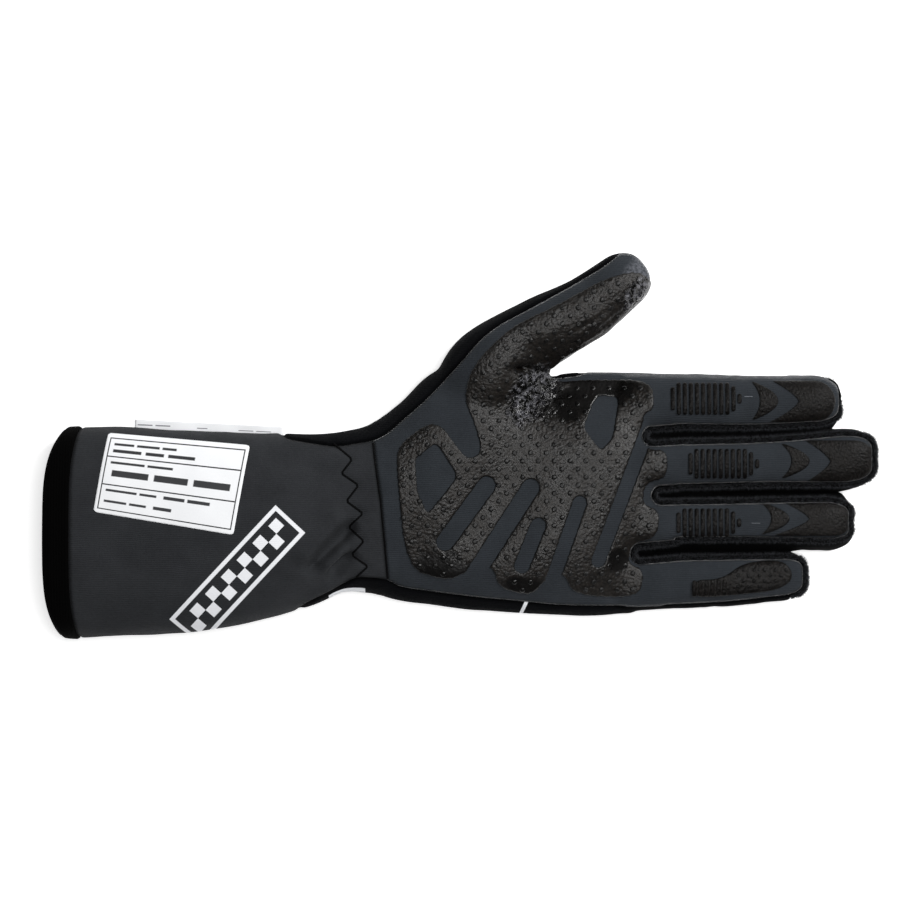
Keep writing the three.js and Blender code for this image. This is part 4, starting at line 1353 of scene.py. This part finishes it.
for first, second in GUSSETS:
    wall = cut(form, [-on_palm, in_gap[(first, second)]], WELT_RINGS, margins=(SEAM_GAP / 2, 0.01))
    seam = attribute(wall, "level_0") - SEAM_GAP / 2
    wall.attributes["edge"].data.foreach_set("value", seam.astype(np.float32))
    co, normal = vertex_places(wall), vertex_normals(wall)
    stand = normal + [0, 0, 0.8]
    stand /= np.linalg.norm(stand, axis=1)[:, None]
    lumpy = (1 + 0.3 * ripple(co, 1.3, 9) + 0.2 * ripple(co, 0.6, 10)) * welt_fade(co, first, second)
    co += stand * (welt_rise(seam) * lumpy)[:, None]
    set_places(wall, co)
    nap = fibres(wall, -0.05, WELT_WIDTH, NAP_SEED + len(first), **NAP)
    gap = f"{first}_{second}"
    finished(f"finger_wall_{gap}", wall, WALL_CLOTH, [f"gusset_{gap}"], CLOTH)
    finished(f"seam_nap_{gap}", nap, NAP_CLOTH)


def band_rise(co):
    """The band stands proud of the cuff and rolls in at the mouth and at its other edge."""
    edges = zip((mouth_level(co), band_level(co)), BAND_ROLLS)
    return BAND_RISE - sum(depth * np.exp(-((level / width) ** 2)) for level, (depth, width) in edges)


band = cut(form, [past_mouth, -past_band], BAND_RINGS, margin=0.0)
rise = band_rise(vertex_places(band))
shaped(band, lambda edge: rise)
finished("mouth_band", band, BAND_CLOTH, ["cuff_binding"], BAND_THICKNESS, 70)


# Prints
PALM_PRINT_ROUND = rounded(PALM_PRINT, 2)
WINDOWS = [rounded(HEEL_WINDOW, 2, 0.1), rounded(INDEX_WINDOW, 2, 0.12)]
LITTLE_ROUND = rounded(LITTLE_PRINT, 2)
clear_of_seams = on_palm - 0.9


def slot_level(co):
    """Positive outside the slots and windows of the palm's print."""
    slots = [line_distance(co, [(ax, ay), (bx, by)]) - width / 2 for ax, ay, bx, by, width in PALM_SLOTS]
    wave = 0.2 * np.sin(co[:, 0] * 1.7) * np.sin(co[:, 1] * 2.3)
    return np.min([*slots, *(-polygon_level(co, window) for window in WINDOWS)], axis=0) + wave


def palm_print_level(co):
    """Positive inside the outline of the palm's print, which is a little wavy."""
    wave = 0.25 * np.sin(co[:, 0] * 1.9) * np.sin(co[:, 1] * 2.1)
    return polygon_level(co, PALM_PRINT_ROUND) + wave


def palm_dots_level(co):
    return np.min([palm_print_level(co), slot_level(co), palm_plan(co) - 1.5], axis=0)


def little_dots_level(co):
    past_ribs = co[:, 0] - LITTLE_DOTS_FROM + 0.35 * (co[:, 1] + 54)
    return np.min([polygon_level(co, LITTLE_ROUND), past_ribs, palm_plan(co) - 1.5], axis=0)


palm_print = plate(form, [palm_print_level(FORM_CO), slot_level(FORM_CO), clear_of_seams, past_wrist - 3])
finished("palm_print", palm_print, PALM_SILICONE, ["grip_palm"], sharp=50)
dot = dot_template()
print_top = PRINT_LIFT + PRINT_THICKNESS
palm_dots = joined(dot, dot_places(surface, palm_dots_level, print_top))
finished("palm_dots", palm_dots, PALM_SILICONE, sharp=70)

little = plate(form, [polygon_level(FORM_CO, LITTLE_ROUND), clear_of_seams])
finished("little_print", little, LITTLE_SILICONE, ["grip_little"], sharp=50)
little_dots = joined(dot, dot_places(surface, little_dots_level, print_top, LITTLE_DOT_SIZE))
finished("little_dots", little_dots, LITTLE_SILICONE, sharp=70)
little_bars = [(x, -57.4 + 0.03 * (x - 93), 6.6, RIB_WIDTH) for x in np.arange(94, 108.5, RIB_PITCH)]
finished("little_ribs", rib_mesh(surface, little_bars, print_top - 0.15), RIB_SILICONE, sharp=45)

for name, x, y, length, width in RIB_PADS:
    ribs = rib_mesh(surface, pad_bars(x, y, length, width))
    finished(f"{name}_ribs", ribs, RIB_SILICONE, [f"grip_{name}_ribs"], sharp=45)

for name, x, y, half, inner, outer in CRESCENTS:
    arc = np.linspace(-1, 1, 17)
    outline = [(x + outer * (1 - s**2), y + s * half) for s in arc]
    outline += [(x + inner * (1 - s**2), y + s * half) for s in arc[::-1][1:-1]]
    crescent = plate(form, [polygon_level(FORM_CO, outline), clear_of_seams], height=PAD_HEIGHT)
    finished(f"{name}_crescent", crescent, TIP_SILICONE, [f"grip_{name}_crescent"], sharp=50)

for name, thumb_horn, little_horn, notch_x, end_x, y, half in TIP_PADS:
    turn = np.linspace(-math.pi / 2, math.pi / 2, 15)
    outline = [(end_x - half + half * math.cos(t), y + half * math.sin(t)) for t in turn]
    for across in np.linspace(1, -1, 13):
        horn = thumb_horn if across > 0 else little_horn
        outline.append((notch_x - (notch_x - horn) * abs(across) ** 1.4, y + half * across))
    pad = plate(form, [polygon_level(FORM_CO, outline), clear_of_seams], height=PAD_HEIGHT)
    finished(f"{name}_tip_pad", pad, TIP_SILICONE, [f"grip_{name}_tip"], sharp=50)


# Label and tab


def patch_map(mesh, corners):
    """Gives a mesh a map from 0 to 1 across four corners, in the palm's plane."""
    (ax, ay), (bx, by), (cx, cy), (dx, dy) = corners
    co = vertex_places(mesh)[:, :2]
    u, v = np.full(len(co), 0.5), np.full(len(co), 0.5)
    for _ in range(12):
        low = np.array([ax, ay]) * (1 - u)[:, None] + np.array([bx, by]) * u[:, None]
        high = np.array([dx, dy]) * (1 - u)[:, None] + np.array([cx, cy]) * u[:, None]
        miss = co - (low * (1 - v)[:, None] + high * v[:, None])
        along = (np.array([bx - ax, by - ay]) * (1 - v)[:, None]
                 + np.array([cx - dx, cy - dy]) * v[:, None])
        across = high - low
        size = along[:, 0] * across[:, 1] - along[:, 1] * across[:, 0]
        u = u + (miss[:, 0] * across[:, 1] - miss[:, 1] * across[:, 0]) / size
        v = v + (along[:, 0] * miss[:, 1] - along[:, 1] * miss[:, 0]) / size
    loops = np.zeros(len(mesh.loops), np.int32)
    mesh.loops.foreach_get("vertex_index", loops)
    layer = mesh.uv_layers.new(name="label")
    layer.data.foreach_set("uv", np.column_stack([u, v])[loops].astype(np.float32).ravel())


PATCH_CENTRE = np.mean(PATCH, axis=0)


def patch_level(co):
    """The label is a four-sided patch with small round corners."""
    return polygon_level(co, PATCH_CENTRE + (np.array(PATCH) - PATCH_CENTRE) * 0.965) + 1.0


patch = plate(form, [patch_level(FORM_CO), on_palm - 3], lift=0.08, height=0.3, soften=0.2)
patch_map(patch, PATCH)
finished("cuff_label", patch, LABEL_CLOTH, ["label_patch"], sharp=50)


def side_tab():
    """A strip of white cloth that stands out of the side seam, a little wavy."""
    bm = bmesh.new()
    bmesh.ops.create_grid(bm, x_segments=60, y_segments=10, size=1)
    for vert in bm.verts:
        u, v = (vert.co.x + 1) / 2, (vert.co.y + 1) / 2
        x = TAB["from_x"] + (TAB["to_x"] - TAB["from_x"]) * u
        outer = TAB["outer_y"] - TAB["taper"] * u
        wave = 0.35 * math.sin(u * 9) * v + 0.2 * math.sin(u * 23 + 1)
        vert.co = (x, TAB["tuck"] + (outer - TAB["tuck"]) * v, TAB["seat"] + wave)
    mesh = bpy.data.meshes.new("tab")
    bm.to_mesh(mesh)
    bm.free()
    patch_map(mesh, [(TAB["from_x"], 5), (TAB["to_x"], 3), (TAB["to_x"], 7.2), (TAB["from_x"], 10.2)])
    return mesh


finished("seam_tab", side_tab(), TAB_CLOTH, ["side_tab"], 0.6)

# Threads
zigzag = thread(surface, bent(ZIGZAG), ZIGZAG_RADIUS, ZIGZAG_DEPTH)
finished("wrist_zigzag", zigzag, THREAD)
wrist_y = np.linspace(-53.5, 1, 60)
wrist_line = list(zip(smooth_rows(WRIST_SEAM, wrist_y)[:, 0], wrist_y))
wrist_thread = thread(surface, wrist_line, WRIST_THREAD_RADIUS, WRIST_THREAD_DEPTH)
finished("wrist_thread", wrist_thread, THREAD)
for name, line in TACKS.items():
    finished(name, thread(surface, line, TACK_RADIUS, TACK_DEPTH), PALE_THREAD)


# The studio


def area_light(name, place, target, size, power):
    light = bpy.data.lights.new(name, "AREA")
    light.shape = "DISK"
    light.size = size
    light.energy = power
    lamp = bpy.data.objects.new(name, light)
    lamp.location = place
    lamp.rotation_euler = (Vector(target) - Vector(place)).to_track_quat("-Z", "Y").to_euler()
    bpy.context.scene.collection.objects.link(lamp)


def studio():
    bm = bmesh.new()
    bmesh.ops.create_grid(bm, x_segments=2, y_segments=2, size=FLOOR_HALF)
    mesh = bpy.data.meshes.new("floor")
    bm.to_mesh(mesh)
    bm.free()
    material, tree, shader = new_material("floor_paint", 0.9, 0.1)
    speck = add(tree, "TexNoise", add(tree, "TexCoord").outputs["Object"], None, 3.0, 2.0).outputs[0]
    tone = mix_colour(tree, speck, (0.93, 0.93, 0.93), (0.95, 0.95, 0.95))
    tree.links.new(tone, shader.inputs["Base Color"])
    shader.inputs["Emission Color"].default_value = (1, 1, 1, 1)
    shader.inputs["Emission Strength"].default_value = FLOOR_GLOW
    mesh.materials.append(material)
    floor = bpy.data.objects.new("floor", mesh)
    floor.location = (0, 0, -FLOOR_DROP)
    bpy.context.scene.collection.objects.link(floor)

    for name, settings in LIGHTS.items():
        area_light(name, *settings)
    world = bpy.data.worlds.new("studio")
    world.use_nodes = True
    glow = world.node_tree.nodes["Background"].inputs
    glow[0].default_value, glow[1].default_value = (1, 1, 1, 1), WORLD_GLOW
    bpy.context.scene.world = world
    bpy.context.scene.view_settings.view_transform = "Standard"

    lens = bpy.data.cameras.new("camera")
    lens.lens, lens.sensor_width = VIEW["lens"], VIEW["sensor"]
    camera = bpy.data.objects.new("camera", lens)
    camera.location = (VIEW["x"], VIEW["y"], VIEW["height"])
    bpy.context.scene.collection.objects.link(camera)
    bpy.context.scene.camera = camera


studio()

for spare in [m for m in bpy.data.meshes if not m.users]:
    bpy.data.meshes.remove(spare)
